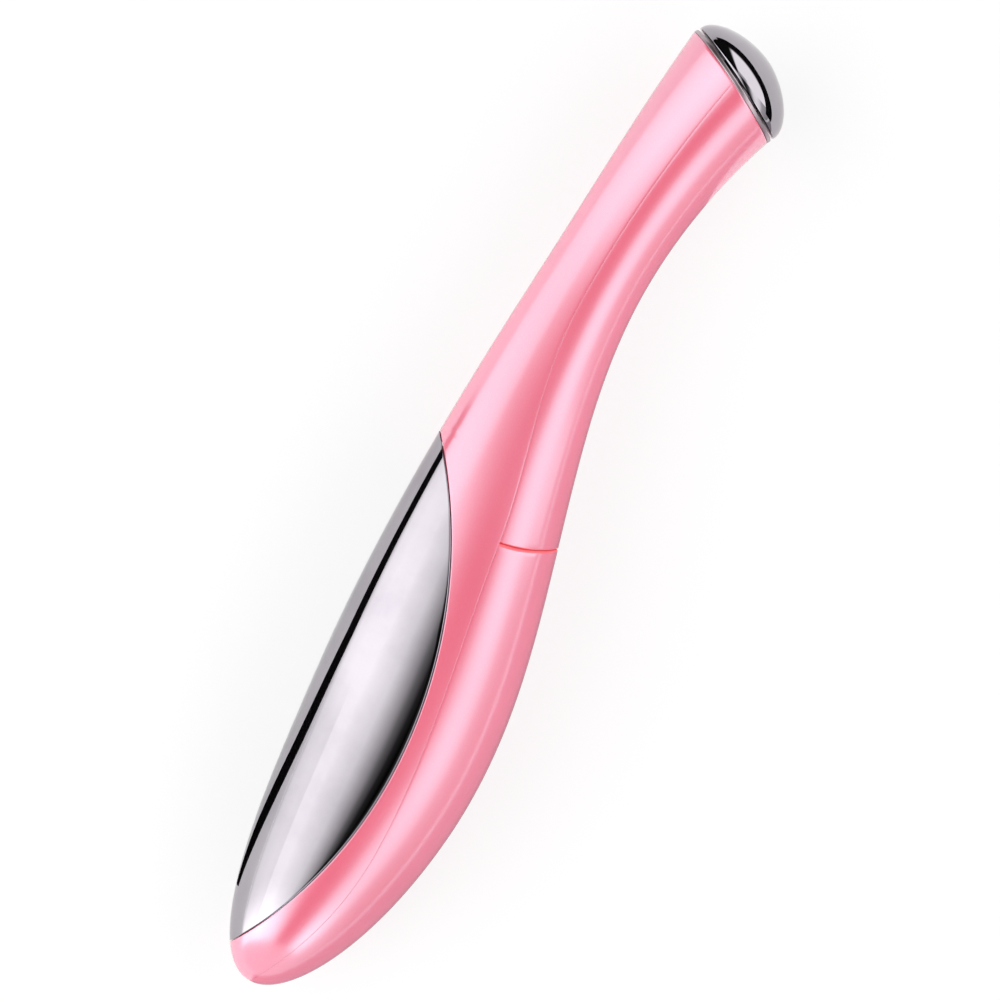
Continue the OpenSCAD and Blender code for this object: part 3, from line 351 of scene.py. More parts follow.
@dataclass
class MeshMaker:
    """Collects grids of points and turns them into one closed, smooth mesh."""

    points: list[Array] = field(default_factory=list)
    quads: list[Array] = field(default_factory=list)
    count: int = 0

    def grid(self, pts: Array, flip: bool = False, closed: bool = False) -> None:
        """Adds a grid of quads.

        Args:
            pts: rows by columns by three.
            flip: turns the faces round.
            closed: joins the last column to the first.
        """
        rows, cols = pts.shape[:2]
        ids = np.arange(rows * cols).reshape(rows, cols) + self.count
        if closed:
            ids = np.concatenate([ids, ids[:, :1]], axis=1)
        a, b, c, d = ids[:-1, :-1], ids[1:, :-1], ids[1:, 1:], ids[:-1, 1:]
        quad = np.stack([a, d, c, b] if flip else [a, b, c, d], axis=-1).reshape(-1, 4)
        self.points.append(pts.reshape(-1, 3))
        self.quads.append(quad)
        self.count += rows * cols

    def block(self, outer: Array, inner: Array) -> None:
        """Adds the closed solid between an outer and an inner grid of the same shape."""
        self.grid(outer)
        self.grid(inner, flip=True)
        self.grid(np.stack([outer[:, 0], inner[:, 0]], axis=1), flip=True)
        self.grid(np.stack([outer[:, -1], inner[:, -1]], axis=1))
        self.grid(np.stack([outer[0], inner[0]], axis=1))
        self.grid(np.stack([outer[-1], inner[-1]], axis=1), flip=True)

    def make(self, name: str, at: Array) -> bpy.types.Object:
        """Makes the object, welded, with its faces outward and smooth.

        Args:
            name: the piece's name.
            at: what is added to each point before it is scaled to metres.

        Returns:
            The new object, at the origin.
        """
        pts = (np.concatenate(self.points) + at) * MM
        mesh = bpy.data.meshes.new(name)
        mesh.from_pydata(pts.tolist(), [], np.concatenate(self.quads).tolist())
        work = bmesh.new()
        work.from_mesh(mesh)
        bmesh.ops.remove_doubles(work, verts=work.verts, dist=WELD)
        bmesh.ops.dissolve_degenerate(work, edges=work.edges, dist=SPECK)
        bmesh.ops.recalc_face_normals(work, faces=work.faces)
        work.to_mesh(mesh)
        work.free()
        smoothed(mesh, SHELL_SHARP)
        return placed(name, mesh)


def round_over(radius: float, steps: int = 5) -> list[tuple[float, float]]:
    """Pairs of setback and inset along a rounded edge, from the wall out to the face."""
    turns = [math.radians(90 * (1 - k / steps)) for k in range(steps + 1)]
    return [(radius * (1 - math.sin(t)), radius * (1 - math.cos(t))) for t in turns]


class Side(Enum):
    """Which way a piece lies from a parting line."""

    BACK = 1.0
    FRONT = -1.0


@dataclass(frozen=True)
class PartingLine:
    """An edge of a shell: a line over X in side view, or the middle line of the wand."""

    height: Callable[[Array, float], Array] | None
    gap: float = 0.0
    side: Side = Side.BACK
    angle: float = 0.0
    radius: float = 0.22

    def where(self, s: Array, inset: Array, setback: float) -> Array:
        """Angle of the edge at stations, set back from it by some distance."""
        if self.height is None:
            return np.full(np.broadcast(s, inset).shape, self.angle)
        off = self.side.value * (self.gap + setback)
        return FORM.angle_where(s, inset, lambda x: self.height(x, off))


def seam_line(side: Side, radius: float = 0.03) -> PartingLine:
    """The parting line between front and back, closed up tight, seen from one side of it."""
    return PartingLine(lambda x, off: FORM.seam(x) + off, 0.006, side, 0.0, radius)


def head_line(side: Side, gap: float, radius: float = 0.2) -> PartingLine:
    """The head's edge, seen from one side of it."""
    return PartingLine(lambda x, off: FORM.head_edge(x, off), gap, side, 180.0, radius)


def beside_seam(off: float) -> PartingLine:
    """A line at a fixed height over the parting line."""
    return PartingLine(lambda x, _: FORM.seam(x) + off)


MIDDLE_BACK = PartingLine(None, angle=0.0)
MIDDLE_FRONT = PartingLine(None, angle=180.0)


@dataclass
class HalfShell:
    """Half of a shell, between a line nearer the back and one nearer the front."""

    upper: PartingLine
    lower: PartingLine
    wall: float
    columns: int = 40
    fade_turn: float = 12.0

    def edges(self, line: PartingLine) -> list[tuple[float, float]]:
        """Round-over of a line, or nothing on the wand's middle line."""
        return [] if line.height is None else round_over(line.radius)[:-1]

    def outer(self, s: Array, row_inset: Array) -> tuple[Array, Array]:
        """Angles and insets of the outer face.

        Args:
            s: stations, rows by columns or rows by one.
            row_inset: inset of each row, for edges that cross the wand.

        Returns:
            Angles and insets, rows by columns.
        """
        up, low = self.edges(self.upper), self.edges(self.lower)
        zero = np.zeros(s[:, :1].shape)
        fade = self.fade(s)
        column = (lambda k: s[:, k : k + 1]) if s.shape[1] > 1 else (lambda k: s)
        total = self.columns + len(up) + len(low)
        angles, insets = [], []
        for k, (setback, inset) in enumerate(up):
            angles.append(self.upper.where(column(k), zero + inset, setback))
            insets.append(zero + inset)
        r_up, r_low = (self.upper.radius if up else 0.0), (self.lower.radius if low else 0.0)
        at = s[:, len(up) : total - len(low)] if s.shape[1] > 1 else s
        t = np.linspace(0, 1, self.columns)[None, :]
        a, b = self.upper.where(at, zero, r_up), self.lower.where(at, zero, r_low)
        angles.append(np.minimum(a, b) * (1 - t) + b * t)
        insets.append(np.repeat(zero, self.columns, 1))
        for k, (setback, inset) in enumerate(reversed(low)):
            at = column(total - len(low) + k)
            angles.append(self.lower.where(at, zero + inset * fade, setback))
            insets.append(inset * fade)
        return np.concatenate(angles, 1), np.maximum(np.concatenate(insets, 1), row_inset)

    def fade(self, s: Array) -> Array:
        """Share of the lower edge's round-over, which dies out where the edge ends."""
        if self.lower.height is None:
            return np.ones(s[:, :1].shape)
        left = 180 - self.lower.where(s[:, -1:], np.zeros(s[:, :1].shape), 0.0)
        return ease(left / self.fade_turn)

    def inner(self, s: Array, count: int) -> Array:
        """Angles of the inner face, rows by count."""
        t = np.linspace(0, 1, count)[None, :]
        wall = np.full(s.shape, self.wall)
        a, b = self.upper.where(s, wall, 0.0), self.lower.where(s, wall, 0.0)
        return np.minimum(a, b) * (1 - t) + b * t


def at_bow(face: Callable[[Array], Array], count: int, radius: float) -> Array:
    """Stations at which the columns of a face meet an arc round the cover's bowed edge.

    Args:
        face: points of the face for one row of stations.
        count: how many columns it has.
        radius: radius of the arc.

    Returns:
        One row of stations.
    """
    s = np.full((1, count), FORM.cover_x + 1.0)
    for _ in range(5):
        s = FORM.bow_centre - np.sqrt(np.maximum(radius**2 - face(s)[..., 2] ** 2, 1.0))
    return s


def bow_station(half: HalfShell, row_inset: float, radius: float, wall: bool) -> Array:
    """Stations at which a shell's columns meet the cover's bowed edge.

    Args:
        half: the shell.
        row_inset: inset of this row.
        radius: radius of the edge, with its gap and setback.
        wall: whether this is the shell's inner face.

    Returns:
        One row of stations.
    """
    count = half.columns + len(half.edges(half.upper)) + len(half.edges(half.lower))

    def face(s: Array) -> Array:
        """Points of the face for one row of stations."""
        if wall:
            return FORM.point(s, half.inner(s, count), np.float64(half.wall))
        f, inset = half.outer(s, np.full((1, 1), row_inset))
        return FORM.point(s, f, inset)

    return at_bow(face, count, radius)


def mirrored(pts: Array) -> Array:
    """The same points on the other side of the wand's middle plane, columns turned round."""
    return pts[:, ::-1] * np.array([1.0, 1.0, -1.0])


# ---- Shader trees ----


class Socket:
    """A value of a shader tree that takes part in plain Python expressions."""

    def __init__(self, tree: "ShaderTree", socket: bpy.types.NodeSocket) -> None:
        """Wraps an output socket of a tree."""
        self.tree = tree
        self.socket = socket

    def _math(self, operation: str, *values: "Socket | float") -> "Socket":
        """Adds one Math node."""
        return self.tree.node("ShaderNodeMath", {"operation": operation}, dict(enumerate(values)))

    def __add__(self, other: "Socket | float") -> "Socket":
        """Sum."""
        return self._math("ADD", self, other)

    def __sub__(self, other: "Socket | float") -> "Socket":
        """Difference."""
        return self._math("SUBTRACT", self, other)

    def __rsub__(self, other: float) -> "Socket":
        """Difference, turned round."""
        return self._math("SUBTRACT", other, self)

    def __mul__(self, other: "Socket | float") -> "Socket":
        """Product."""
        return self._math("MULTIPLY", self, other)

    def __truediv__(self, other: "Socket | float") -> "Socket":
        """Quotient."""
        return self._math("DIVIDE", self, other)

    def clamp(self) -> "Socket":
        """Held between 0 and 1."""
        return self.tree.node("ShaderNodeClamp", {}, {0: self})

    def step(self, low: float, high: float) -> "Socket":
        """Smooth step from 0 at low to 1 at high."""
        settings = {"interpolation_type": "SMOOTHSTEP"}
        return self.tree.node("ShaderNodeMapRange", settings, {"Value": self, 1: low, 2: high})

    def wave(self) -> "Socket":
        """Sine of the value."""
        return self._math("SINE", self)


Value = Socket | float | tuple


class ShaderTree:
    """A material's node tree with one way to add a node."""

    def __init__(self, tree: bpy.types.NodeTree) -> None:
        """Empties a tree and keeps it."""
        self.tree = tree
        tree.nodes.clear()

    def node(self, kind: str, settings: dict, values: dict, out: int | str = 0) -> Socket:
        """Adds a node.

        Args:
            kind: the node's type.
            settings: its properties, set before its sockets; "stops" fills a ramp.
            values: numbers, colours or sockets by input name or number.
            out: which output to hand back.

        Returns:
            The node's output.
        """
        made = self.tree.nodes.new(kind)
        for key, value in settings.items():
            if key == "stops":
                ramp = made.color_ramp.elements
                while len(ramp) < len(value):
                    ramp.new(0.5)
                for element, (place, colour) in zip(ramp, value):
                    element.position, element.color = place, (*colour, 1.0)
            else:
                setattr(made, key, value)
        for key, value in values.items():
            if isinstance(value, Socket):
                self.tree.links.new(value.socket, made.inputs[key])
            elif value is not None:
                made.inputs[key].default_value = value
        return Socket(self, made.outputs[out])

    def coords(self, centre: Sequence[float] = (0, 0, 0), turn: float = 0.0) -> Socket:
        """Object coordinates, moved to a centre and turned about Z."""
        raw = self.node("ShaderNodeTexCoord", {}, {}, "Object")
        settings = {"operation": "SUBTRACT"}
        moved = self.node("ShaderNodeVectorMath", settings, {0: raw, 1: tuple(centre)})
        return self.node("ShaderNodeMapping", {}, {"Vector": moved, "Rotation": (0.0, 0.0, turn)})

    def split(self, vector: Socket) -> tuple[Socket, Socket, Socket]:
        """The three parts of a vector."""
        first = self.node("ShaderNodeSeparateXYZ", {}, {0: vector}, 0)
        made = first.socket.node
        return first, Socket(self, made.outputs[1]), Socket(self, made.outputs[2])

    def noise(self, vector: Socket, scale: float, detail: float = 2.0, rough: float = 0.5) -> Socket:
        """Noise over a vector, scale in waves to the metre."""
        values = {"Vector": vector, "Scale": scale, "Detail": detail, "Roughness": rough}
        return self.node("ShaderNodeTexNoise", {}, values, "Fac")

    def mix(self, factor: Value, first: Value, second: Value) -> Socket:
        """Mixes two colours."""
        settings = {"data_type": "RGBA", "blend_type": "MIX"}
        return self.node("ShaderNodeMix", settings, {0: factor, 6: first, 7: second}, 2)

    def bump(self, height: Socket, strength: float, distance: float) -> Socket:
        """Normal from a height, distance in metres."""
        values = {"Strength": strength, "Distance": distance, "Height": height}
        return self.node("ShaderNodeBump", {}, values)

    def close(self, shader: Socket) -> None:
        """Ends the tree in its output."""
        self.node_output("ShaderNodeOutputMaterial", shader)

    def node_output(self, kind: str, shader: Socket) -> None:
        """Adds an output node fed by a shader."""
        made = self.tree.nodes.new(kind)
        self.tree.links.new(shader.socket, made.inputs[0])


def blank_material(name: str) -> tuple[bpy.types.Material, ShaderTree]:
    """A new material and its empty tree."""
    made = bpy.data.materials.new(name)
    made.use_nodes = True
    return made, ShaderTree(made.node_tree)


def rgb(colour: Sequence[float]) -> tuple[float, float, float, float]:
    """Linear colour with full alpha from 0 to 255 screen values."""
    part = [c / 255 for c in colour]
    lin = [c / 12.92 if c <= 0.04045 else ((c + 0.055) / 1.055) ** 2.4 for c in part]
    return (*lin, 1.0)


@dataclass(frozen=True)
class Finish:
    """A finish: its name, its plain constants and the way it varies over a surface."""

    name: str
    colour: tuple[float, float, float]
    second: tuple[float, float, float]
    rough: float = 0.5
    rough_spread: float = 0.06
    metallic: float = 0.0
    cloud_scale: float = 120.0
    grain_scale: float = 5000.0
    grain_height: float = 4e-6
    coat: float = 0.0
    coat_rough: float = 0.1
    coat_ior: float = 1.5
    sheen_tint: tuple[float, float, float] = (255, 255, 255)
    ior: float = 1.5

    def principled(self, tree: ShaderTree, values: dict) -> Socket:
        """Adds the shader with this finish's constants and the varying values."""
        fixed = {
            "Metallic": self.metallic,
            "Coat Weight": self.coat,
            "Coat Roughness": self.coat_rough,
            "Coat IOR": self.coat_ior,
            "Specular Tint": rgb(self.sheen_tint),
            "IOR": self.ior,
        }
        return tree.node("ShaderNodeBsdfPrincipled", {}, {**fixed, **values})

    def shade(self, tree: ShaderTree) -> dict:
        """Varying values of the finish: clouded colour, grain and roughness."""
        at = tree.coords()
        cloud = tree.noise(at, self.cloud_scale, 3.0)
        grain = tree.noise(at, self.grain_scale, 2.0, 0.6)
        mixed = tree.mix(cloud.step(0.3, 0.7), rgb(self.colour), rgb(self.second))
        return {
            "Base Color": mixed,
            "Roughness": grain * self.rough_spread + (self.rough - self.rough_spread / 2),
            "Normal": tree.bump(grain, 0.4, self.grain_height),
        }

    def material(self) -> bpy.types.Material:
        """The material, made once."""
        label = self.name + "_finish"
        found = bpy.data.materials.get(label)
        if found:
            return found
        made, tree = blank_material(label)
        tree.close(self.principled(tree, self.shade(tree)))
        return made

    def dress(self, obj: bpy.types.Object) -> None:
        """Puts the material on every slot of an object."""
        material = self.material()
        if not obj.material_slots:
            obj.data.materials.append(material)
        for slot in obj.material_slots:
            slot.material = material


@dataclass(frozen=True)
class PearlFinish(Finish):
    """Pearl lacquer: fine flakes under a clear coat, a little deeper in places."""

    flake_scale: float = 14000.0

    def shade(self, tree: ShaderTree) -> dict:
        """Flakes in gloss and bumps, and as a painted glint of pale specks in the colour, over a slow cloud.
        """
        at = tree.coords()
        cloud = tree.noise(at, self.cloud_scale, 2.0)
        flake = tree.noise(at, self.flake_scale, 1.0, 0.5)
        base = tree.mix(cloud.step(0.25, 0.75), rgb(self.colour), rgb(self.second))
        # Painted glint: flake specks mixed pale toward the highlight pink in the base colour.
        painted_flake_glint = flake.step(0.56, 0.8) * 0.16
        return {
            "Base Color": tree.mix(painted_flake_glint, base, rgb((255, 214, 226))),
            "Roughness": flake * self.rough_spread + (self.rough - self.rough_spread / 2),
            "Normal": tree.bump(flake, 0.25, self.grain_height),
        }


@dataclass(frozen=True)
class MirrorFinish(Finish):
    """Polished plating with the faintest haze, smears and hairlines."""

    def shade(self, tree: ShaderTree) -> dict:
        """Smears widen the gloss a little, and hairlines run along the wand."""
        at = tree.coords()
        smear = tree.noise(at, 90.0, 4.0, 0.62)
        along = tree.node("ShaderNodeMapping", {}, {"Vector": at, "Scale": (60.0, 2600.0, 2600.0)})
        line = tree.noise(along, 1.0, 1.0)
        haze = smear.step(0.45, 0.85) * self.rough_spread
        return {
            "Base Color": tree.mix(smear.step(0.35, 0.75), rgb(self.colour), rgb(self.second)),
            "Roughness": haze + line.step(0.6, 0.9) * 0.015 + self.rough,
            "Normal": tree.bump(line, 0.05, self.grain_height),
        }


@dataclass(frozen=True)
class BrushedFinish(Finish):
    """Drawn or turned metal, its lines running along one direction."""

    stretch: tuple[float, float, float] = (200.0, 6000.0, 6000.0)

    def shade(self, tree: ShaderTree) -> dict:
        """Lines in colour, gloss and height."""
        at = tree.coords()
        along = tree.node("ShaderNodeMapping", {}, {"Vector": at, "Scale": self.stretch})
        line = tree.noise(along, 1.0, 3.0, 0.6)
        cloud = tree.noise(at, self.cloud_scale, 2.0)
        both = (line * 0.6 + cloud * 0.4).step(0.3, 0.7)
        return {
            "Base Color": tree.mix(both, rgb(self.colour), rgb(self.second)),
            "Roughness": line * self.rough_spread + (self.rough - self.rough_spread / 2),
            "Normal": tree.bump(line, 0.3, self.grain_height),
        }


@dataclass(frozen=True)
class BoardFinish(Finish):
    """Solder mask over copper tracks, with bare pads at the edges of the tracks."""

    pitch: float = 1.27e-3

    def shade(self, tree: ShaderTree) -> dict:
        """Tracks run along the wand and step sideways here and there."""
        at = tree.coords()
        x, _, z = tree.split(at)
        turn = 2 * math.pi / self.pitch
        jog = tree.noise(at, 160.0, 0.0).step(0.47, 0.53) * (self.pitch / 2)
        track = ((z + jog) * turn).wave().step(0.1, 0.45)
        via = ((x * turn).wave() * (z * turn).wave()).step(0.9, 0.95)
        mask = tree.mix(track, rgb(self.colour), rgb(self.second))
        grain = tree.noise(at, 6000.0)
        return {
            "Base Color": tree.mix(via, mask, rgb((205, 200, 188))),
            "Roughness": grain * 0.08 + self.rough,
            "Normal": tree.bump(track + grain * 0.1, 0.5, 2.5e-5),
        }


@dataclass(frozen=True)
class FilmFinish(Finish):
    """Amber film with the heating track showing through in long meanders."""

    pitch: float = 1.6e-3

    def shade(self, tree: ShaderTree) -> dict:
        """The track's lines run along the film and turn at its ends."""
        at = tree.coords()
        _, _, z = tree.split(at)
        line = (z * (2 * math.pi / self.pitch)).wave().step(-0.1, 0.3)
        grain = tree.noise(at, 4000.0)
        return {
            "Base Color": tree.mix(line, rgb(self.colour), rgb(self.second)),
            "Roughness": grain * 0.1 + self.rough,
            "Normal": tree.bump(line + grain * 0.1, 0.4, 3e-5),
        }


@dataclass(frozen=True)
class JacketFinish(Finish):
    """Shrunk jacket of the cell: a dark sleeve, a bright band and bare metal at the nub."""

    band_x: float = 0.0
    bare_x: float = 1.0
    blur: float = 2e-5

    def shade(self, tree: ShaderTree) -> dict:
        """Bands along X, with a fine shrink grain."""
        at = tree.coords()
        x, _, _ = tree.split(at)
        band = x.step(self.band_x - self.blur, self.band_x + self.blur)
        bare = x.step(self.bare_x - self.blur, self.bare_x + self.blur)
        grain = tree.noise(at, 3500.0)
        sleeve = tree.mix(band, rgb(self.colour), rgb(self.second))
        return {
            "Base Color": tree.mix(bare, sleeve, rgb((196, 194, 188))),
            "Metallic": bare,
            "Roughness": grain * 0.08 + self.rough,
            "Normal": tree.bump(grain, 0.3, 6e-6),
        }


PINK = PearlFinish(
    "pearl_pink", (255, 122, 145), (252, 114, 138), rough=0.21, rough_spread=0.08,
    cloud_scale=30.0, grain_height=3e-6, coat=0.8, coat_rough=0.09, ior=3.1,
    sheen_tint=(178, 236, 255),
)
# Painted shade: a deeper coral on the round-over along the cover's bowed seam stands in for the shade and
# pink bounce light in the seam's groove.
SEAM_SHADE_CORAL = Finish("bare_coral", (250, 112, 122), (244, 100, 112), rough=0.45, grain_height=6e-6)
CHROME = MirrorFinish(
    "mirror_chrome", (166, 161, 167), (158, 153, 160), rough=0.035, rough_spread=0.05,
    metallic=1.0, grain_height=2e-6,
)
RING = BrushedFinish(
    "satin_ring", (190, 176, 180), (165, 152, 158), rough=0.32, rough_spread=0.1, metallic=1.0,
    stretch=(5000.0, 5000.0, 5000.0),
)
RUBBER = Finish("seal_rubber", (52, 52, 56), (44, 44, 48), rough=0.78, grain_height=1.2e-5)
FILM = FilmFinish("heater_polyimide", (190, 116, 34), (122, 62, 22), rough=0.32)
CERAMIC = Finish("sensor_ceramic", (198, 106, 62), (180, 92, 52), rough=0.42, grain_scale=7000.0)
FRAME = Finish("frame_plastic", (206, 208, 210), (196, 199, 202), rough=0.52, grain_height=1e-5)
SPRING = BrushedFinish("spring_steel", (204, 203, 198), (176, 175, 170), rough=0.24, metallic=1.0)
NICKEL = BrushedFinish("contact_nickel", (214, 210, 198), (188, 184, 172), rough=0.3, metallic=1.0)
MOTOR = BrushedFinish("motor_steel", (198, 199, 202), (168, 169, 172), rough=0.26, metallic=1.0)
ENDCAP = Finish("endcap_blue", (44, 104, 186), (36, 90, 168), rough=0.46)
TUNGSTEN = BrushedFinish("tungsten", (146, 142, 134), (118, 114, 108), rough=0.42, metallic=1.0)
BOARD = BoardFinish("board_green", (22, 92, 52), (36, 122, 72), rough=0.3)
CHIP = Finish("chip_black", (34, 34, 36), (26, 26, 28), rough=0.6, grain_scale=9000.0, grain_height=8e-6)
FERRITE = Finish("ferrite", (64, 64, 68), (52, 52, 56), rough=0.66, grain_height=1.5e-5)
SWITCH = Finish("switch_black", (42, 42, 46), (34, 34, 38), rough=0.48)
PLUNGER = Finish("plunger_white", (228, 227, 220), (216, 215, 208), rough=0.44)
ZINC = BrushedFinish("screw_zinc", (196, 196, 190), (164, 164, 160), rough=0.3, metallic=1.0)
LEADS = {
    "red": Finish("lead_red", (196, 36, 34), (176, 28, 28), rough=0.4),
    "black": Finish("lead_black", (36, 36, 38), (28, 28, 30), rough=0.42),
    "blue": Finish("lead_blue", (44, 76, 170), (36, 64, 152), rough=0.4),
    "yellow": Finish("lead_yellow", (222, 180, 48), (206, 164, 40), rough=0.4),
    "white": Finish("lead_white", (226, 226, 222), (212, 212, 208), rough=0.42),
}
COPPER = BrushedFinish("coil_copper", (196, 116, 72), (170, 94, 56), rough=0.34, metallic=1.0)
SOLDER = Finish("solder", (196, 196, 192), (172, 172, 168), rough=0.3, metallic=1.0)


# ---- Casings and head ----


@dataclass
class Shell:
    """A smooth shell over the wand's form, which stands for one node of the frame."""

    node: str
    body: str
    finish: Finish
    slot: str
    maker: MeshMaker = field(default_factory=MeshMaker)

    def add_half(
        self, half: HalfShell, s_out: Array, row_inset: Array, s_in: Array, open_rows: slice = slice(None)
    ) -> None:
        """Adds a half shell and its mirror image.

        Args:
            half: the section's edges.
            s_out: stations of the outer face, rows by columns or rows by one.
            row_inset: inset of each row of the outer face, rows by one.
            s_in: stations of the inner face.
            open_rows: rows along which the lower edge is open.
        """
        f, inset = half.outer(s_out, row_inset)
        outer = FORM.point(s_out, f, inset)
        inner = FORM.point(s_in, half.inner(s_in, f.shape[1]), np.float64(half.wall))
        for turned in (False, True):
            o, i = (mirrored(outer), mirrored(inner)) if turned else (outer, inner)
            first, last = (-1, 0) if turned else (0, -1)
            self.maker.grid(o)
            self.maker.grid(i, flip=True)
            if half.upper.height is not None:
                self.maker.grid(np.stack([o[:, first], i[:, first]], 1))
            if half.lower.height is not None:
                self.maker.grid(np.stack([o[open_rows, last], i[open_rows, last]], 1))
            self.maker.grid(np.stack([o[0], i[0]], 1))
            self.maker.grid(np.stack([o[-1], i[-1]], 1))

    def add_tabs(self, half: HalfShell, stations: Array, inset: float) -> None:
        """Adds a plain block on both sides that follows the form between two insets."""
        s = stations[:, None]
        count = half.columns
        t = np.linspace(0, 1, count)[None, :]

        def face(depth: float) -> Array:
            """Points of the block's face at one inset."""
            at = np.full(s.shape, depth)
            a, b = half.upper.where(s, at, 0.0), half.lower.where(s, at, 0.0)
            return FORM.point(s, a * (1 - t) + b * t, np.float64(depth))

        outer, inner = face(inset), face(half.wall)
        self.maker.block(outer, inner)
        self.maker.block(mirrored(outer), mirrored(inner))

    def add_stiffeners(self, ring: HalfShell) -> None:
        """Adds the ribs round the handle, which follow a half shell."""
        for run in STIFFENER_RUNS:
            ends = np.array([run - STIFFENER_T / 2, run + STIFFENER_T / 2])
            self.add_tabs(ring, ends, FORM.wall - ROOT)

    def finish_piece(self, name: str, bare: float = 0.0) -> bpy.types.Object:
        """Makes the piece, dresses it and lets it stand for its node.

        Args:
            name: the piece's name.
            bare: width of the band along the cover's bowed edge that gets the coral of painted seam shade; 0
                for none.

        Returns:
            The finished piece.
        """
        obj = self.maker.make(name, FORM.shift)
        self.finish.dress(obj)
        # Painted shade: faces within this band of the cover's bowed edge get the coral finish that stands in
        # for the shade in the seam's groove.
        if bare:
            obj.data.materials.append(SEAM_SHADE_CORAL.material())
            centre = np.array([p.center for p in obj.data.polygons]) / MM - FORM.shift
            off = np.abs(np.hypot(centre[:, 0] - FORM.bow_centre, centre[:, 2]) - FORM.cover_edge_r)
            near = (off < bare) & (centre[:, 0] < FORM.bow_centre - SEAM_SHADE_END)
            obj.data.polygons.foreach_set("material_index", near.astype(int))
        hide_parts(self.node)
        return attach(obj, self.body)


def spread(start: float, end: float, count: int, bias: float = 1.0) -> Array:
    """Stations from start to end, closer together near the start where bias is over 1."""
    return start + (end - start) * np.linspace(0, 1, count) ** bias


def head_ends(gap: float) -> tuple[float, float]:
    """Stations at which the head's edge, grown by a gap, leaves the front's middle line."""

    def clear(s: float) -> bool:
        """Whether the head's edge lies below the middle line at a station."""
        p = FORM.point(np.float64(s), np.float64(180), np.float64(0))
        return bool(p[1] > FORM.head_edge(p[0], gap))

    ends = []
    for outside, inside in ((45.0, FORM.handle_len), (FORM.handle_len + 85.0, FORM.handle_len)):
        low, high = outside, inside
        for _ in range(50):
            mid = (low + high) / 2
            low, high = (mid, high) if clear(mid) else (low, mid)
        ends.append((low + high) / 2)
    return ends[0], ends[1]


@dataclass
class FrontCasing:
    """Front half of the casing, from the tail rim round the head to the tip."""

    rows: int = 70
    head_rows: int = 60
    crowd: float = 1.7
    ledge_rows: int = 40
    ledge_crowd: float = 1.5
    ledge_insets: tuple[float, float] = (1.5, 2.9)
    ledge_reach: tuple[float, float] = (1.1, -1.5)

    def build(self) -> bpy.types.Object:
        """Builds the shell with the opening for the head, and its inner ledge and stiffeners."""
        shell = Shell("front_housing", "wand", PINK, "pearl_pink")
        start, end = head_ends(FORM.seam_gap)
        rim = round_over(RIM_R)
        tip = FORM.tip_station
        before = spread(END_ROOM, start, self.rows)
        first = spread(start, FORM.handle_len, self.head_rows, self.crowd)[1:]
        second = spread(end, FORM.handle_len, self.head_rows, self.crowd)[::-1][1:]
        after = spread(end, tip - END_ROOM, 18)[1:]
        s = np.concatenate([[d for d, _ in rim[:-1]], before, first, second, after, [tip]])[:, None]
        inset = np.zeros(s.shape)
        inset[: len(rim) - 1, 0] = [i for _, i in rim[:-1]]
        half = HalfShell(seam_line(Side.FRONT), head_line(Side.BACK, FORM.seam_gap, 0.12), FORM.wall, 44)
        opening = slice(len(rim) - 1 + self.rows - 1, len(s) - len(after) - 1)
        shell.add_half(half, s, inset, s, opening)
        self.add_inner(shell, start, end)
        return shell.finish_piece("front_casing")

    def add_inner(self, shell: Shell, start: float, end: float) -> None:
        """Adds the ledge under the head's edge and the stiffeners round the handle."""
        shell.add_stiffeners(HalfShell(seam_line(Side.FRONT), MIDDLE_FRONT, FORM.wall + 0.9, 24))
        up, down = self.ledge_reach
        above = PartingLine(lambda x, off: FORM.head_edge(x, up))
        below = PartingLine(lambda x, off: FORM.head_edge(x, down))
        outer, inner = self.ledge_insets
        first = spread(start, FORM.handle_len, self.ledge_rows, self.ledge_crowd)
        second = spread(end, FORM.handle_len, self.ledge_rows, self.ledge_crowd)[::-1][1:]
        shell.add_tabs(HalfShell(above, below, inner, 6), np.concatenate([first, second]), outer)


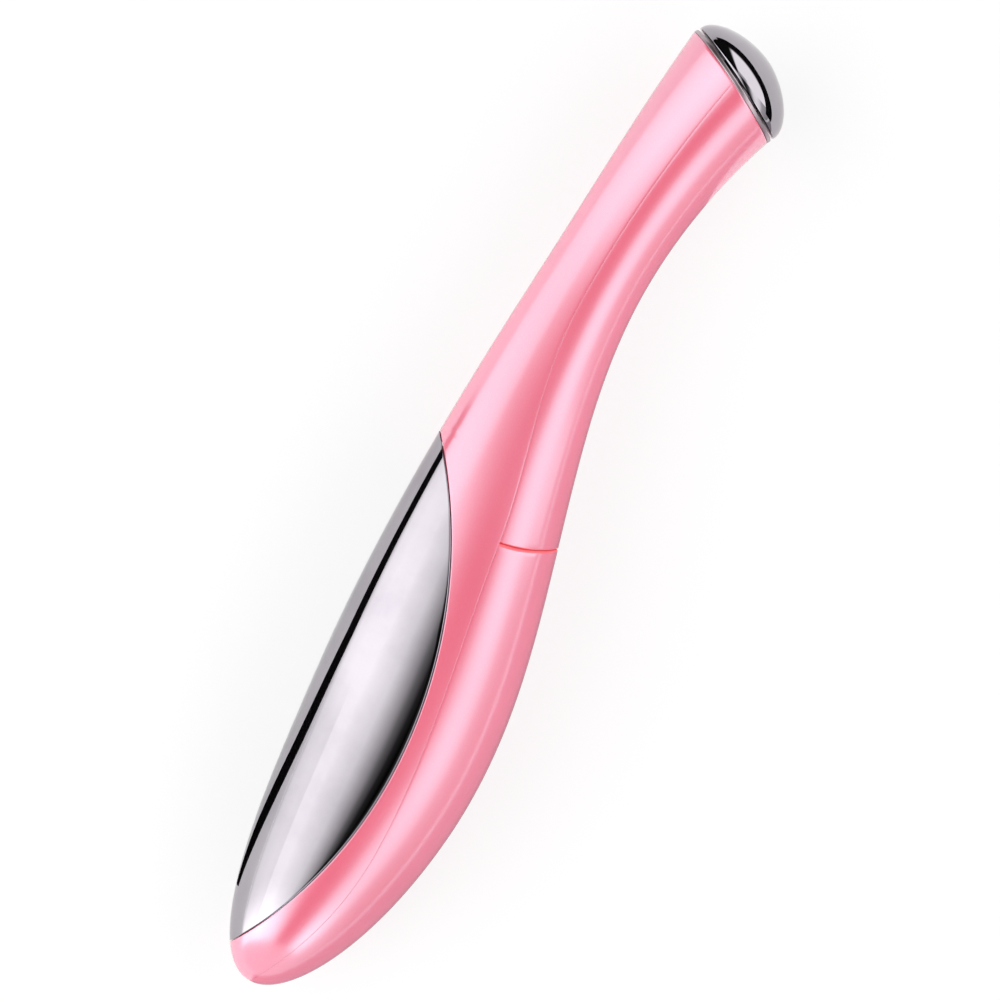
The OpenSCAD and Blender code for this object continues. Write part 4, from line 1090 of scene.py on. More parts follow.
@dataclass
class RearCasing:
    """Back half of the handle, up to the battery cover's bowed edge."""

    rows: int = 70
    bow_rows: int = 14
    plain_end: float = 62.0
    tongue_runs: tuple[float, ...] = (12.2, 21.2, 33.0, 48.0, 61.5)
    tongue_len: float = 4.0
    tongue_reach: tuple[float, float] = (1.5, -1.4)
    tongue_play: float = 0.08
    root_reach: float = 0.3
    root_narrow: float = 0.02
    shelf_insets: tuple[float, float] = (0.15, 1.25)
    shelf_reach: tuple[float, float] = (1.2, -2.0)
    shelf_root_insets: tuple[float, float] = (-0.2, 0.8)
    shelf_root_reach: tuple[float, float] = (1.3, 0.3)
    shelf_columns: int = 25
    screw_x: float = 72.8
    lug_end_x: float = 75.2
    lug_half: float = 3.0
    lug_inset: float = 1.75
    lug_y: float = 6.602
    seat_y: float = 7.902
    head_r: float = 1.65
    hole_r: float = 0.95

    def build(self) -> bpy.types.Object:
        """Builds the shell with its bowed upper edge, and the parts inside it."""
        shell = Shell("rear_housing", "wand", PINK, "pearl_pink")
        half = HalfShell(MIDDLE_BACK, seam_line(Side.BACK), FORM.wall, 40)
        count = half.columns + len(half.edges(half.lower))
        rim, last = round_over(RIM_R), self.plain_end
        radius = FORM.cover_edge_r + FORM.seam_gap / 2
        plain = np.concatenate([[d for d, _ in rim[:-1]], spread(END_ROOM, last, self.rows)])
        s = [np.repeat(plain[:, None], count, 1)]
        inset = [i for _, i in rim[:-1]] + [0.0] * self.rows
        edge = bow_station(half, 0.0, radius + rim[-1][0], False)
        s.append(last + (edge - last) * np.linspace(0, 1, self.bow_rows)[1:, None])
        inset += [0.0] * (self.bow_rows - 1)
        for setback, depth in reversed(rim[:-1]):
            s.append(bow_station(half, depth, radius + setback, False))
            inset.append(depth)
        stations = np.concatenate(s)
        inner = np.repeat(plain[:, None], count, 1)
        wall_edge = bow_station(half, 0.0, radius, True)
        t = np.linspace(0, 1, self.bow_rows + len(rim) - 1)[1:, None]
        inner = np.concatenate([inner, last + (wall_edge - last) * t])
        shell.add_half(half, stations, np.array(inset)[:, None], inner)
        self.add_inner(shell)
        return shell.finish_piece("rear_casing", SEAM_SHADE_BAND)

    def add_shelf(self, shell: Shell) -> None:
        """Adds the bowed shelf that the cover's upper edge rests on, and its root on the wall."""

        count = self.shelf_columns

        def face(s: Array, depth: float) -> Array:
            """Points of the shelf's face at one inset, from the middle to above the seam."""
            t = np.linspace(0, 1, count)[None, :]
            end = FORM.angle_where(s, np.full(s.shape, depth), lambda x: FORM.seam(x) + 1.0)
            return FORM.point(s, end * t, np.float64(depth))

        shelf = (self.shelf_insets, self.shelf_reach)
        root = (self.shelf_root_insets, self.shelf_root_reach)
        for depths, reach in (shelf, root):
            faces = []
            for depth in depths:
                inset = FORM.wall + depth
                radii = [FORM.cover_edge_r + r for r in reach]
                first, last = (at_bow(lambda s: face(s, inset), count, r) for r in radii)
                rows = [face(first + (last - first) * k / 4, inset) for k in range(5)]
                faces.append(np.concatenate(rows))
            shell.maker.block(*faces)
            shell.maker.block(*(mirrored(f) for f in faces))

    def add_lug(self, shell: Shell) -> None:
        """Adds the lug of the casing screw, with its hole and the seat of the screw's head."""
        a = np.linspace(0, 2 * np.pi, 49)[:-1]
        c, z = np.cos(a), np.sin(a)
        near, far = self.screw_x - FORM.cover_x, self.lug_end_x - self.screw_x
        out = 1 / np.maximum(np.abs(c) / np.where(c < 0, near, far), np.abs(z) / self.lug_half)

        def ring(radius: Array | float, y: float | None) -> Array:
            """Points round the screw at a radius and a height, or up on the casing's form."""
            x, side = self.screw_x + c * radius, z * radius
            depth = FORM.half_depth(x) - self.lug_inset
            width = FORM.half_width(x) - self.lug_inset
            n = FORM.power(x)
            top = FORM.spine(x) + depth * (1 - (np.abs(side) / width) ** n) ** (1 / n)
            return np.stack([x, top if y is None else np.full(x.shape, y), side], 1)

        head, hole = self.head_r, self.hole_r
        line = [(out, self.lug_y), (out, None), (head, None), (head, self.seat_y),
                (hole, self.seat_y), (hole, self.lug_y), (out, self.lug_y)]
        shell.maker.grid(np.stack([ring(*place) for place in line]), closed=True)

    def add_inner(self, shell: Shell) -> None:
        """Adds the shelf, the lug, the tongues inside the front casing and the stiffeners."""
        self.add_shelf(shell)
        self.add_lug(shell)
        above, below, root = (beside_seam(off) for off in (*self.tongue_reach, self.root_reach))
        tongue = HalfShell(above, below, FORM.wall + 1, 5)
        foot = HalfShell(above, root, FORM.wall + 0.6, 4)
        for run in self.tongue_runs:
            ends = spread(run - self.tongue_len / 2, run + self.tongue_len / 2, 5)
            shell.add_tabs(tongue, ends, FORM.wall + self.tongue_play)
            narrow = ends * (1 - self.root_narrow) + run * self.root_narrow
            shell.add_tabs(foot, narrow, FORM.wall - ROOT)
        shell.add_stiffeners(HalfShell(MIDDLE_BACK, seam_line(Side.BACK), FORM.wall + 0.9, 20))


@dataclass
class BatteryCover:
    """Cover over the cell, from its bowed upper edge to the tip."""

    rows: int = 60
    bow_rows: int = 20
    handle_rows: int = 14
    plain_start: float = 84.0
    teeth: int = 5
    tooth_reach: tuple[float, float] = (1.7, -1.1)
    root_reach: float = 0.3
    web_t: float = 1.2
    web_columns: int = 41
    web_rise: float = 0.5
    tooth_len: float = 4.0
    tooth_first: float = 7.5
    tooth_pitch: float = 10.0
    web_runs: tuple[float, ...] = (90.8, 104.8, 118.8)
    cell_y: float = 4.4
    cell_r: float = 5.5

    def build(self) -> bpy.types.Object:
        """Builds the shell with its locating teeth and the webs over the cell."""
        shell = Shell("battery_cover", "cover", PINK, "pearl_pink")
        half = HalfShell(MIDDLE_BACK, seam_line(Side.BACK), FORM.wall, 44)
        rim, near = round_over(RIM_R), self.plain_start
        radius = FORM.cover_edge_r - FORM.seam_gap / 2
        s, inset = [], []
        for setback, depth in rim[:-1]:
            s.append(bow_station(half, depth, radius - setback, False))
            inset.append(depth)
        edge = bow_station(half, 0.0, radius - rim[-1][0], False)
        s.append(edge + (near - edge) * np.linspace(0, 1, self.bow_rows)[:, None])
        inset += [0.0] * self.bow_rows
        count = edge.shape[1]
        tip = FORM.tip_station
        handle = spread(near, FORM.handle_len, self.handle_rows)[1:]
        nose = spread(FORM.handle_len, tip - END_ROOM, self.rows)[1:]
        rest = np.concatenate([handle, nose, [tip]])
        s.append(np.repeat(rest[:, None], count, 1))
        inset += [0.0] * len(rest)
        wall_edge = bow_station(half, 0.0, radius, True)
        t = np.linspace(0, 1, self.bow_rows + len(rim) - 1)[:, None]
        inner = wall_edge + (near - wall_edge) * t
        inner = np.concatenate([inner, np.repeat(rest[:, None], count, 1)])
        shell.add_half(half, np.concatenate(s), np.array(inset)[:, None], inner)
        self.add_inner(shell)
        return shell.finish_piece("battery_door", SEAM_SHADE_BAND)

    def add_inner(self, shell: Shell) -> None:
        """Adds the teeth under the seam and the webs that keep the cell down."""
        above, below, root = (beside_seam(off) for off in (*self.tooth_reach, self.root_reach))
        tooth = HalfShell(above, below, FORM.wall + 1.5, 6)
        foot = HalfShell(above, root, FORM.wall + 1.0, 4)
        half = self.tooth_len / 2
        for k in range(self.teeth):
            run = FORM.corner_x + self.tooth_first + self.tooth_pitch * k
            shell.add_tabs(tooth, self.stations(run - half, run + half), FORM.wall + 0.5)
            ends = self.stations(run - half + 0.1, run + half - 0.1)
            shell.add_tabs(foot, ends, FORM.wall - ROOT)
        for run in self.web_runs:
            self.add_web(shell, run)

    @staticmethod
    def stations(start: float, end: float) -> Array:
        """Stations of places along X on the inner wall."""
        x = np.linspace(start, end, 5)
        share = np.clip((x - FORM.handle_len) / (FORM.nose_len - FORM.wall), -1, 1)
        return np.where(x <= FORM.handle_len, x, FORM.handle_len + np.degrees(np.arcsin(share)))

    def add_web(self, shell: Shell, run: float) -> None:
        """Adds one web with its hollow over the cell."""
        s = self.stations(run, run)[:1]
        low, inset = FORM.seam_rise + self.web_rise, FORM.wall - ROOT
        reach = float(FORM.angle_where(s, np.array([inset]), lambda x: np.full(x.shape, low))[0])
        f = np.linspace(-reach, reach, self.web_columns)
        top = FORM.point(s, np.abs(f), np.float64(inset))
        top[:, 2] *= np.sign(f)
        z = top[:, 2]
        hollow = self.cell_y + np.sqrt(np.maximum(self.cell_r**2 - z**2, 0))
        bottom = np.stack([top[:, 0], np.minimum(np.maximum(low, hollow), top[:, 1]), z], 1)
        move = np.array([self.web_t / 2, 0, 0])
        web = np.stack([top, bottom], 0)
        shell.maker.block(web - move, web + move)


@dataclass
class ChromeHead:
    """Polished head plate, let into the front casing, with its screw bosses."""

    rows: int = 90
    crowd: float = 1.7
    boss_d: float = 4.4
    boss_edge: float = 0.2
    hole_edge: float = 0.15
    hole_depth: float = 6.0
    hole_play: float = 0.06
    boss_top_y: float = -3.8
    screw_d: float = 1.6
    screw_runs: tuple[float, float] = (104.8, 117.8)

    def build(self) -> bpy.types.Object:
        """Builds the plate and the bosses behind it."""
        shell = Shell("heated_head", "wand", CHROME, "mirror_chrome")
        start, end = head_ends(0.0)
        first = spread(start, FORM.handle_len, self.rows, self.crowd)
        second = spread(end, FORM.handle_len, self.rows, self.crowd)[::-1][1:]
        s = np.concatenate([first, second])[:, None]
        half = HalfShell(head_line(Side.FRONT, 0.0, 0.16), MIDDLE_FRONT, FORM.head_wall, 72)
        shell.add_half(half, s, np.zeros(s.shape), s)
        for run in self.screw_runs:
            self.add_boss(shell, run)
        return shell.finish_piece("chrome_head")

    def add_boss(self, shell: Shell, run: float) -> None:
        """Adds a boss with its blind hole, standing on the plate's inner face."""
        r, bore, top = self.boss_d / 2, self.screw_d / 2 + self.hole_play, self.boss_top_y
        past = FORM.handle_len + math.degrees(math.asin((run + r - FORM.handle_len) / FORM.nose_len))
        rim = FORM.point(np.float64(past), np.linspace(160, 180, 9), np.float64(FORM.head_wall - 0.3))
        root = float(np.max(rim[:5, 1]))
        edge, lead = self.boss_edge, self.hole_edge
        profile = [(0, root), (r, root), (r, top - edge), (r - edge, top), (bore + lead, top),
                   (bore, top - lead), (bore, top - self.hole_depth), (0, top - self.hole_depth)]
        a = np.linspace(0, 2 * np.pi, 33)[:-1]
        rings = [[(run + q * np.cos(t), y, q * np.sin(t)) for t in a] for q, y in profile]
        shell.maker.grid(np.array(rings), closed=True)


# ---- Tail ----


def turned(
    profile: Sequence[tuple[float, float]], segments: int, start: float = 0.0, sweep: float = 360.0
) -> Array:
    """Points of a profile turned about the tail's axis.

    Args:
        profile: pairs of radius and depth along the axis.
        segments: sides round the axis.
        start: first angle in degrees.
        sweep: turn in degrees.

    Returns:
        Rows of the profile by columns round the axis by three.
    """
    tilt = math.radians(FORM.tail_tilt)
    axis = np.array([math.cos(tilt), -math.sin(tilt), 0.0])
    out = np.array([math.sin(tilt), math.cos(tilt), 0.0])
    side = np.array([0.0, 0.0, 1.0])
    whole = sweep >= 360
    count = segments if whole else segments + 1
    a = np.radians(start + sweep * np.arange(count) / segments)
    r = np.array([p[0] for p in profile])[:, None, None]
    d = np.array([p[1] for p in profile])[:, None, None]
    ring = np.cos(a)[None, :, None] * out + np.sin(a)[None, :, None] * side
    return d * axis + r * ring


@dataclass
class TailRing:
    """Satin trim ring between the casing and the button, with its guide sleeve."""

    edge: float = 0.14
    sides: int = 160

    def build(self) -> bpy.types.Object:
        """Builds the ring by turning its profile."""
        e, t = self.edge, TAIL
        bore, sleeve = t.ring_bore / 2, t.ring_bore / 2 + t.ring_wall
        turns = [math.radians(a) for a in range(0, 91, 15)]
        arc = [(e * math.sin(a), e * (1 - math.cos(a))) for a in turns]
        band = [(t.ring_r - e + x, -t.ring_h + y) for x, y in arc]
        foot = [(t.ring_r - y, -e + x) for x, y in arc]
        profile = [(bore, -t.ring_h), *band, *foot, (sleeve, 0.0), (sleeve, t.ring_sleeve - e),
                   (sleeve - e, t.ring_sleeve), (bore, t.ring_sleeve), (bore, -t.ring_h)]
        maker = MeshMaker()
        maker.grid(turned(profile, self.sides), closed=True)
        obj = maker.make("trim_ring", FORM.shift)
        RING.dress(obj)
        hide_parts("tail_ring")
        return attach(obj, "wand")


@dataclass
class TailButton:
    """Chrome dome of the tail button, with its guided stem, bead and post."""

    steps: int = 56
    sides: int = 160
    stem_sides: int = 96
    slot_w: float = 1.2
    slot_z: float = 1.2
    edge: float = 0.15
    overlap: float = 0.1

    def dome(self, r: float, h: float, side: float) -> list[tuple[float, float]]:
        """Radius and height of a dome's line, from its side to its pole."""
        f = np.radians(np.concatenate([np.linspace(0, 80, self.steps), np.linspace(80, 90, 12)[1:]]))
        p = TAIL.dome_power
        radii = [float(r * max(0.0, 1 - math.sin(a) ** p) ** (1 / p)) for a in f]
        return [(q, -side - (h - side) * math.sin(a)) for q, a in zip(radii, f)]

    def build(self) -> bpy.types.Object:
        """Builds the dome, its stem in four fingers and the post over the switch."""
        t, maker = TAIL, MeshMaker()
        z, e, slot_z = t.dome_rim_z, self.edge, self.slot_z
        lip = [(t.dome_r - e, z), (t.dome_r - e * 0.3, z - e * 0.3), (t.dome_r, z - e)]
        shell = [(r, z + d) for r, d in self.dome(t.dome_r, t.dome_h, t.dome_side)]
        rim, height = t.dome_r - t.dome_wall, t.dome_h - t.dome_wall
        hollow = [(r, z + d) for r, d in self.dome(rim, height, t.dome_side)]
        stem = t.ring_bore / 2 - t.run_gap
        bore = stem - t.stem_wall
        floor = [(rim, z), (rim, z - t.rim_t), (bore, z - t.rim_t), (bore, slot_z), (stem, slot_z), (stem, z)]
        maker.grid(turned([*lip, *shell], self.sides), closed=True)
        maker.grid(turned([*hollow[::-1], (rim, z), (t.dome_r - e, z)], self.sides), closed=True)
        maker.grid(turned([*floor, floor[0]], self.stem_sides), closed=True)
        start, end = slot_z - self.overlap, t.bead_z + t.bead_h
        bead = [(bore, start), (bore, end), (stem + 0.15, end), (stem + 0.35, t.bead_z + 0.4),
                (stem + 0.35, t.bead_z + 0.1), (stem, t.bead_z), (stem, start), (bore, start)]
        half = math.degrees(math.asin(self.slot_w / 2 / bore))
        for k in range(4):
            finger = turned(bead, 14, 45 + 90 * k + half, 90 - 2 * half)
            maker.grid(finger)
            for column in (0, -1):
                loop = finger[:-1, column]
                centre = loop.mean(axis=0)
                ring = np.concatenate([loop, loop[:1]])
                maker.grid(np.stack([ring, np.repeat(centre[None], len(ring), 0)]))
        top = z - t.dome_h + t.dome_wall / 2
        post = [(0.0, top), (t.post_r, top), (t.post_r, t.bead_z - e), (t.post_r - e, t.bead_z),
                (0.0, t.bead_z)]
        maker.grid(turned(post, 48), closed=True)
        obj = maker.make("tail_button", FORM.shift)
        CHROME.dress(obj)
        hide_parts("power_button")
        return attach(obj, "button")


# ---- Inner works made with geometry nodes ----


class GeometryTree:
    """A Geometry Nodes tree with named inputs, run once and turned into a plain mesh."""

    def __init__(self, name: str, inputs: dict[str, float]) -> None:
        """Starts a tree with its number inputs."""
        self.group = bpy.data.node_groups.new(name, "GeometryNodeTree")
        face = self.group.interface
        face.new_socket("Geometry", in_out="INPUT", socket_type="NodeSocketGeometry")
        self.ids: dict[str, str] = {}
        for key, value in inputs.items():
            kind = "NodeSocketInt" if isinstance(value, int) else "NodeSocketFloat"
            made = face.new_socket(key, in_out="INPUT", socket_type=kind)
            made.default_value = value
            self.ids[key] = made.identifier
        face.new_socket("Geometry", in_out="OUTPUT", socket_type="NodeSocketGeometry")
        self.values = inputs
        self.source = self.group.nodes.new("NodeGroupInput")

    def node(self, kind: str, settings: dict, values: dict) -> bpy.types.Node:
        """Adds a node with its settings first and then its values or links."""
        made = self.group.nodes.new(kind)
        for key, value in settings.items():
            setattr(made, key, value)
        for key, value in values.items():
            if isinstance(value, bpy.types.NodeSocket):
                self.group.links.new(value, made.inputs[key])
            else:
                made.inputs[key].default_value = value
        return made

    def given(self, key: str) -> bpy.types.NodeSocket:
        """A named input of the tree."""
        return self.source.outputs[key]

    def piece(self, name: str, geometry: bpy.types.NodeSocket, finish: Finish) -> bpy.types.Object:
        """Ends the tree and turns its result into an object.

        Args:
            name: the new piece's name.
            geometry: what the tree has made.
            finish: the finish that the tree sets.

        Returns:
            A plain mesh object without modifiers.
        """
        real = self.node("GeometryNodeRealizeInstances", {}, {0: geometry})
        values = {0: real.outputs[0], "Material": finish.material()}
        dressed = self.node("GeometryNodeSetMaterial", {}, values)
        end = self.group.nodes.new("NodeGroupOutput")
        self.group.links.new(dressed.outputs[0], end.inputs[0])
        carrier = placed(name + "_carrier", bpy.data.meshes.new(name + "_carrier"))
        modifier = carrier.modifiers.new("shape", "NODES")
        modifier.node_group = self.group
        for key, identifier in self.ids.items():
            modifier[identifier] = self.values[key]
        bpy.context.view_layer.update()
        seen = carrier.evaluated_get(bpy.context.evaluated_depsgraph_get())
        mesh = bpy.data.meshes.new_from_object(seen)
        carrier.modifiers.remove(modifier)
        bpy.data.objects.remove(carrier)
        mesh.name = name
        smoothed(mesh, WIRE_SHARP)
        return placed(name, mesh)


def swept(tree: GeometryTree, curve: bpy.types.NodeSocket, sides: int) -> bpy.types.NodeSocket:
    """Round wire along a curve, its radius from the tree's input "Wire radius"."""
    values = {"Resolution": sides, "Radius": tree.given("Wire radius")}
    ring = tree.node("GeometryNodeCurvePrimitiveCircle", {}, values)
    made = tree.node("GeometryNodeCurveToMesh", {}, {0: curve, 1: ring.outputs[0], "Fill Caps": True})
    return made.outputs[0]


@dataclass
class CellSpring:
    """Contact spring behind the cell, a cone of turns wound by geometry nodes."""

    wire_d: float = 0.5
    big_d: float = 8.0
    small_d: float = 4.0
    length: float = 3.6
    turns: float = 3.0
    base_x: float = 77.2
    cell_y: float = 4.4

    def build(self) -> bpy.types.Object:
        """Builds the cone of wire and stands it on its plate."""
        inset = self.wire_d / 2 + 0.05
        tree = GeometryTree("cell_spring", {
            "Wire radius": self.wire_d / 2 * MM, "Turns": self.turns, "Start radius": self.big_d / 2 * MM,
            "End radius": self.small_d / 2 * MM, "Height": (self.length - 2 * inset) * MM,
        })
        spiral = tree.node("GeometryNodeCurveSpiral", {}, {
            "Resolution": 40, "Rotations": tree.given("Turns"), "Start Radius": tree.given("Start radius"),
            "End Radius": tree.given("End radius"), "Height": tree.given("Height"),
        })
        at = (np.array([self.base_x + inset, self.cell_y, 0.0]) + FORM.shift) * MM
        moved = tree.node("GeometryNodeTransform", {}, {
            0: swept(tree, spiral.outputs[0], 14), "Translation": tuple(at),
            "Rotation": (0.0, math.pi / 2, 0.0),
        })
        obj = tree.piece("cell_spring", moved.outputs[0], SPRING)
        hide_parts("battery_spring")
        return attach(obj, "wand")


@dataclass
class BoardTrim:
    """Solder joints along the board's edges and the copper winding of the coil."""

    board_x0: float = 35.6
    board_len: float = 35.0
    board_w: float = 7.2
    back_y: float = -3.3
    pad_pitch: float = 2.54
    pad_margin: float = 3.0
    pad_edge: float = 0.55
    joint_r: float = 0.34
    joint_squash: float = 0.55
    coil_run: float = 31.0
    coil_rise: float = 0.75
    coil_r: float = 1.62
    coil_h: float = 1.1
    coil_turns: float = 4.0
    coil_wire_r: float = 0.14

    def build(self) -> list[bpy.types.Object]:
        """Builds the solder joints and the winding."""
        return [self.joints(), self.winding()]

    def joints(self) -> bpy.types.Object:
        """Low domes of solder in two rows, set by geometry nodes."""
        count = int((self.board_len - 2 * self.pad_margin) / self.pad_pitch)
        tree = GeometryTree("solder_joints", {
            "Joint radius": self.joint_r * MM, "Count": count, "Pitch": self.pad_pitch * MM,
        })
        row = tree.node("GeometryNodeMeshLine", {}, {"Count": tree.given("Count")})
        step = tree.node("ShaderNodeCombineXYZ", {}, {0: tree.given("Pitch")})
        tree.group.links.new(step.outputs[0], row.inputs["Offset"])
        values = {"Segments": 12, "Rings": 7, "Radius": tree.given("Joint radius")}
        ball = tree.node("GeometryNodeMeshUVSphere", {}, values)
        values = {0: ball.outputs[0], "Scale": (1.0, self.joint_squash, 1.0)}
        flat = tree.node("GeometryNodeTransform", {}, values)
        values = {0: row.outputs[0], "Instance": flat.outputs[0]}
        set_out = tree.node("GeometryNodeInstanceOnPoints", {}, values)
        join = tree.group.nodes.new("GeometryNodeJoinGeometry")
        for side in (-1, 1):
            z = side * (self.board_w / 2 - self.pad_edge)
            at = (np.array([self.board_x0 + self.pad_margin, self.back_y, z]) + FORM.shift) * MM
            values = {0: set_out.outputs[0], "Translation": tuple(at)}
            moved = tree.node("GeometryNodeTransform", {}, values)
            tree.group.links.new(moved.outputs[0], join.inputs[0])
        obj = tree.piece("solder_joints", join.outputs[0], SOLDER)
        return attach(obj, "wand")

    def winding(self) -> bpy.types.Object:
        """Copper turns between the coil's flanges."""
        tree = GeometryTree("coil_winding", {
            "Wire radius": self.coil_wire_r * MM, "Turns": self.coil_turns,
            "Radius": self.coil_r * MM, "Height": self.coil_h * MM,
        })
        spiral = tree.node("GeometryNodeCurveSpiral", {}, {
            "Resolution": 32, "Rotations": tree.given("Turns"), "Start Radius": tree.given("Radius"),
            "End Radius": tree.given("Radius"), "Height": tree.given("Height"),
        })
        place = [self.board_x0 + self.coil_run, self.back_y + self.coil_rise, 0.0]
        at = (np.array(place) + FORM.shift) * MM
        moved = tree.node("GeometryNodeTransform", {}, {
            0: swept(tree, spiral.outputs[0], 8), "Translation": tuple(at),
            "Rotation": (-math.pi / 2, 0.0, 0.0),
        })
        obj = tree.piece("coil_winding", moved.outputs[0], COPPER)
        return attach(obj, "wand")


@dataclass
class CarriedParts:
    """Parts that keep their solids from the frame and get their finishes here."""

    finishes: dict[str, Finish] = field(default_factory=lambda: {
        "head_seal": RUBBER, "heater_film": FILM, "temperature_sensor": CERAMIC, "chassis": FRAME,
        "spring_plate": NICKEL, "positive_contact": NICKEL, "motor_can": MOTOR, "motor_endcap": ENDCAP,
        "motor_sleeve": RUBBER, "motor_shaft": MOTOR, "eccentric_weight": TUNGSTEN, "main_board": BOARD,
        "board_chips": CHIP, "boost_coil": FERRITE, "switch_board": BOARD, "key_switch": SWITCH,
        "switch_plunger": PLUNGER, "head_screws": ZINC, "case_screw": ZINC, "red_lead": LEADS["red"],
        "black_lead": LEADS["black"], "motor_leads": LEADS["blue"], "heater_leads": LEADS["yellow"],
        "switch_leads": LEADS["white"],
    })

    def dress(self, nodes: dict[str, bpy.types.Object]) -> None:
        """Dresses each node, and the cell by its own length."""
        _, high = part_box("battery_cell")
        cell = JacketFinish("cell_jacket", (38, 44, 48), (196, 120, 58), rough=0.3, coat=0.5,
                            band_x=high.x - 0.0125, bare_x=high.x - 0.0013)
        cell.dress(nodes["battery_cell"])
        for name, finish in self.finishes.items():
            finish.dress(nodes[name])
            LOG.info("dressed %s with %s", name, finish.name)


# ---- Studio ----


class Glow:
    """Material of the light tent, which glows by its angle round the wand."""

    tail_level, head_lift, belly_dip, end_lift = 0.82, 0.19, 0.07, 0.55
    back_dip, waist_dark, slant_dip = 0.22, 0.6, 0.13

    def __init__(self, name: str) -> None:
        """Names the card's material."""
        self.name = name

    def material(self, stops: Sequence[tuple[float, float]], strength: float) -> bpy.types.Material:
        """A glow along the card's arc.

        Args:
            stops: pairs of elevation in degrees, from the front's horizon over the top, and level.
            strength: level of the brightest place.

        Returns:
            The material.
        """
        made, tree = blank_material(self.name)
        x, y, z = tree.split(tree.coords())
        turn = tree.node("ShaderNodeMath", {"operation": "ARCTAN2"}, {0: z, 1: y * -1.0}) / math.pi
        ramp = tree.node("ShaderNodeValToRGB", {"stops": [(a / 180, (v, v, v)) for a, v in stops]}, {0: turn})
        degrees = turn * 180
        along = x.step(-0.12, 0.04) * self.head_lift + self.tail_level
        along = along - x.step(0.06, 0.16) * self.belly_dip + x.step(0.3, 0.5) * self.end_lift
        back = 1 - y.step(0.0, 0.1) * x.step(-0.11, -0.02) * self.back_dip
        above = degrees.step(56, 68) * (1 - degrees.step(105, 118))
        shade = 1 - x.step(0.08, 0.13) * (1 - degrees.step(33, 36)) * self.slant_dip
        shade = shade * back * (1 - above * (1 - x.step(-0.11, -0.07)) * self.waist_dark)
        front = y.step(-0.07, -0.04)
        behind = 1 - x.step(-0.15, -0.125) * (1 - front) - x.step(-0.185, -0.16) * front
        window = front * z.step(0.03, 0.06)
        pale = tree.node("ShaderNodeCombineXYZ", {}, {0: window, 1: window, 2: window})
        seen = tree.mix(behind, ramp, pale)
        level = tree.node("ShaderNodeEmission", {}, {"Color": seen, "Strength": along * shade * strength})
        tree.close(level)
        return made


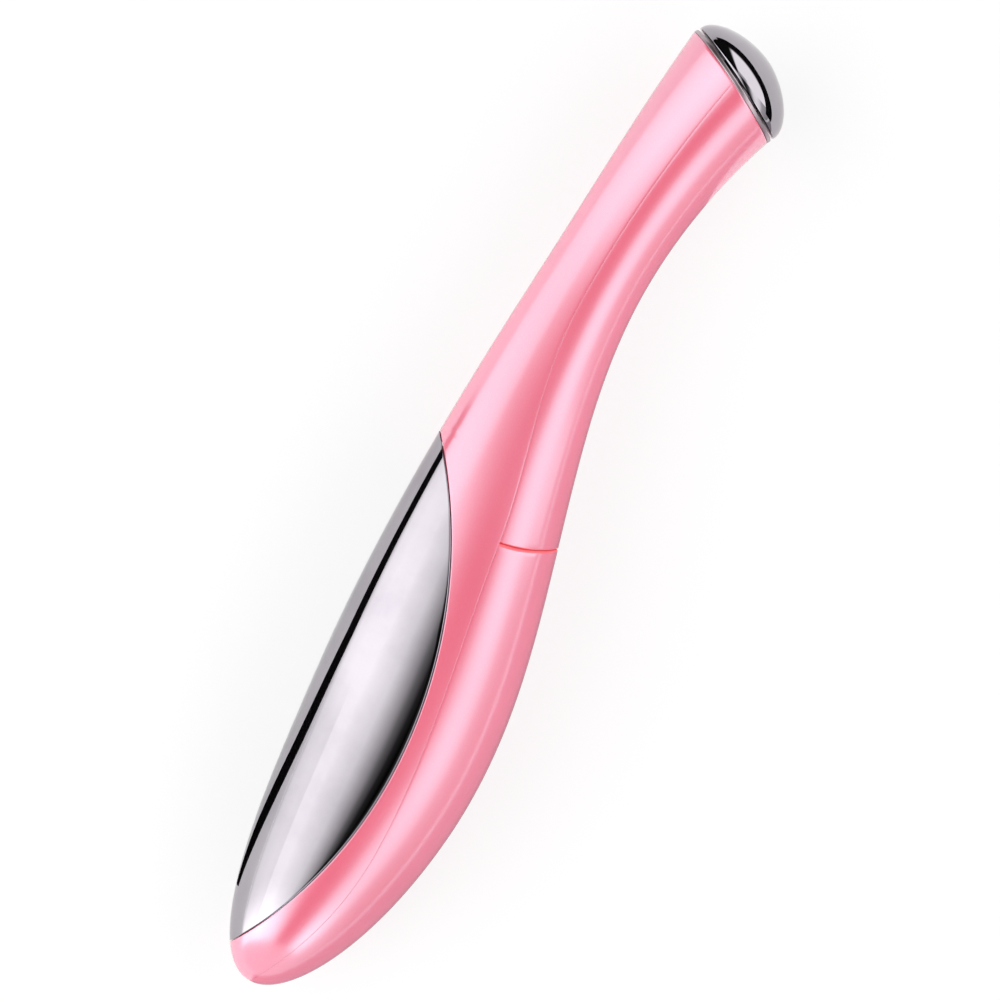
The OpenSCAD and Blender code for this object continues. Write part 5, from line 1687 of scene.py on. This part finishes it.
@dataclass
class Studio:
    """Pale floor, light tent and plain white surroundings of the product picture."""

    floor_half: float = 1.6
    tent_r: float = 0.5
    tent_ends: tuple[float, float] = (-0.3, 0.65)
    window: tuple[float, float] = (0.045, -0.05)
    window_level: float = 2.0
    flag_tone: float = 0.008
    card_tone: float = 0.36
    back_card_w: float = 130.0
    floor_drop: float = 0.0004
    strength: float = 2.48
    white: float = 1.0
    fill: float = 0.62

    def build(self) -> None:
        """Sets up the floor, the tent, its end card, the dark flags and the world."""
        self.floor()
        self.tent()
        self.end_card()
        self.flags()
        self.world()

    def card(self, name: str, pts: Array, material: bpy.types.Material) -> bpy.types.Object:
        """Stands a card in the studio, out of the camera's sight.

        Args:
            name: the card's name.
            pts: its grid of points in metres.
            material: its material.

        Returns:
            The card.
        """
        maker = MeshMaker()
        maker.grid(pts / MM)
        card = maker.make(name, np.zeros(3))
        card.data.materials.append(material)
        card.visible_camera = False
        return card

    def end_card(self) -> None:
        """Card across the tent's end behind the tail: dark, with a bright window towards the back."""
        turns = np.radians(np.linspace(0, 180, 61))
        radii = np.linspace(0.0, self.tent_r, 9)
        x = self.tent_ends[0]
        pts = np.array([[(x, -r * math.cos(a), r * math.sin(a)) for a in turns] for r in radii])
        made, tree = blank_material("end_glow")
        _, y, z = tree.split(tree.coords())
        low, left = self.window
        lit = y.step(left - 0.02, left + 0.02) * z.step(low - 0.015, low + 0.015)
        level = lit * self.window_level + 0.01
        tree.close(tree.node("ShaderNodeEmission", {}, {"Color": (1, 1, 1, 1), "Strength": level}))
        self.card("end_card", pts, made)

    def flags(self) -> None:
        """Low flags by the head and the tail and a grey card under the back, seen only in gloss."""
        beside = [(-16, -64, 15.5), (10, -61, 15), (29, -60, 16.5), (47, -37, 14), (58, -21, 11.6),
                  (66, -13, 9)]
        behind = [(-150, -70, 21.5), (-150, 40, 21.5), (-115, 62, 25), (-85, 68, 28), (-55, 70, 29)]
        under = [(-52, 0), (200, 0)]
        rise = [[(x, y, 0.0), (x, y, top)] for x, y, top in beside]
        wrap = [[(x, y, 0.0), (x, y, top)] for x, y, top in behind]
        flat = [[(x, y, -0.1), (x, y + self.back_card_w, -0.1)] for x, y in under]
        cards = (("head_flag", rise, self.flag_tone), ("tail_flag", wrap, self.flag_tone),
                 ("back_card", flat, self.card_tone))
        for name, pts, shade in cards:
            made, tree = blank_material(name)
            tree.close(tree.node("ShaderNodeBsdfDiffuse", {}, {"Color": (shade, shade * 0.9, shade, 1)}))
            card = self.card(name, np.array(pts) * MM, made)
            card.visible_shadow = False
            card.visible_diffuse = False

    def floor(self) -> None:
        """Pale floor that keeps the object's shadow."""
        h = self.floor_half
        mesh = bpy.data.meshes.new("floor")
        mesh.from_pydata([(-h, -h, 0), (h, -h, 0), (h, h, 0), (-h, h, 0)], [], [(0, 1, 2, 3)])
        floor = placed("floor", mesh)
        material, tree = blank_material("floor_pale")
        path = tree.node("ShaderNodeLightPath", {}, {}, "Is Camera Ray")
        paint = tree.node("ShaderNodeBsdfDiffuse", {}, {"Color": (0.93, 0.93, 0.93, 1)})
        lit = tree.node("ShaderNodeEmission", {}, {"Color": (1, 1, 1, 1), "Strength": self.white})
        tree.close(tree.node("ShaderNodeMixShader", {}, {0: path * 0.75, 1: paint, 2: lit}))
        floor.data.materials.append(material)
        floor.location.z = -self.floor_drop

    def tent(self) -> None:
        """Arc of cards over the wand: soft panels at both sides with a dark strip overhead."""
        turns = np.radians(np.linspace(0, 180, 91))
        x = np.linspace(*self.tent_ends, 9)
        arc = [(-self.tent_r * math.cos(a), self.tent_r * math.sin(a)) for a in turns]
        pts = np.array([[(q, y, z) for y, z in arc] for q in x])
        stops = [(0, 0.7), (6, 0.9), (24, 1.0), (50, 1.0), (58, 0.9), (66, 0.82), (74, 0.72), (80, 0.52),
                 (86.5, 0.27), (89.5, 0.1), (92, 0.015), (96, 0.0), (104, 0.03), (113, 0.14), (119.5, 0.6),
                 (126, 0.92), (137, 1.0), (147, 0.8), (155, 0.42), (180, 0.24)]
        self.card("light_tent", pts, Glow("tent_glow").material(stops, self.strength))

    def world(self) -> None:
        """White surroundings to the eye and in gloss, and a softer fill on matt surfaces."""
        world = bpy.data.worlds.new("studio")
        bpy.context.scene.world = world
        world.use_nodes = True
        tree = ShaderTree(world.node_tree)
        path = tree.node("ShaderNodeLightPath", {}, {}, "Is Camera Ray")
        rays = path.socket.node.outputs
        seen = path + Socket(tree, rays["Is Glossy Ray"]) + Socket(tree, rays["Is Transmission Ray"])
        level = seen.clamp() * (self.white - self.fill) + self.fill
        back = tree.node("ShaderNodeBackground", {}, {"Color": (1, 1, 1, 1), "Strength": level})
        tree.node_output("ShaderNodeOutputWorld", back)


@dataclass
class PictureCamera:
    """Camera of the product picture: straight down on the wand lying on its side."""

    aim_x: float = -0.001295
    aim_y: float = -0.00218
    height: float = 0.802
    lens: float = 201.7
    turn: tuple[float, float] = (-0.479, 0.878)

    def build(self) -> None:
        """Places the camera, its right side along the picture's rows."""
        data = bpy.data.cameras.new("picture")
        data.lens, data.sensor_width = self.lens, 36.0
        data.clip_start, data.clip_end = 0.01, 20.0
        camera = placed("picture", data)
        size = math.hypot(*self.turn)
        c, s = self.turn[0] / size, self.turn[1] / size
        rows = ((c, -s, 0, self.aim_x), (s, c, 0, self.aim_y), (0, 0, 1, self.height), (0, 0, 0, 1))
        camera.matrix_world = Matrix(rows)
        bpy.context.scene.camera = camera


def main() -> None:
    """Loads the frame, builds and dresses every piece, and sets the studio."""
    logging.basicConfig(level=logging.INFO, format="%(name)s: %(message)s")
    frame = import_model()
    bpy.context.scene.view_settings.view_transform = "Standard"
    shells = (FrontCasing(), RearCasing(), BatteryCover(), ChromeHead())
    made = [part.build() for part in (*shells, TailRing(), TailButton(), CellSpring())]
    for obj in made + BoardTrim().build():
        LOG.info("%s: %d faces", obj.name, len(obj.data.polygons))
    CarriedParts().dress(frame["nodes"])
    Studio().build()
    PictureCamera().build()


if __name__ == "__main__":
    main()
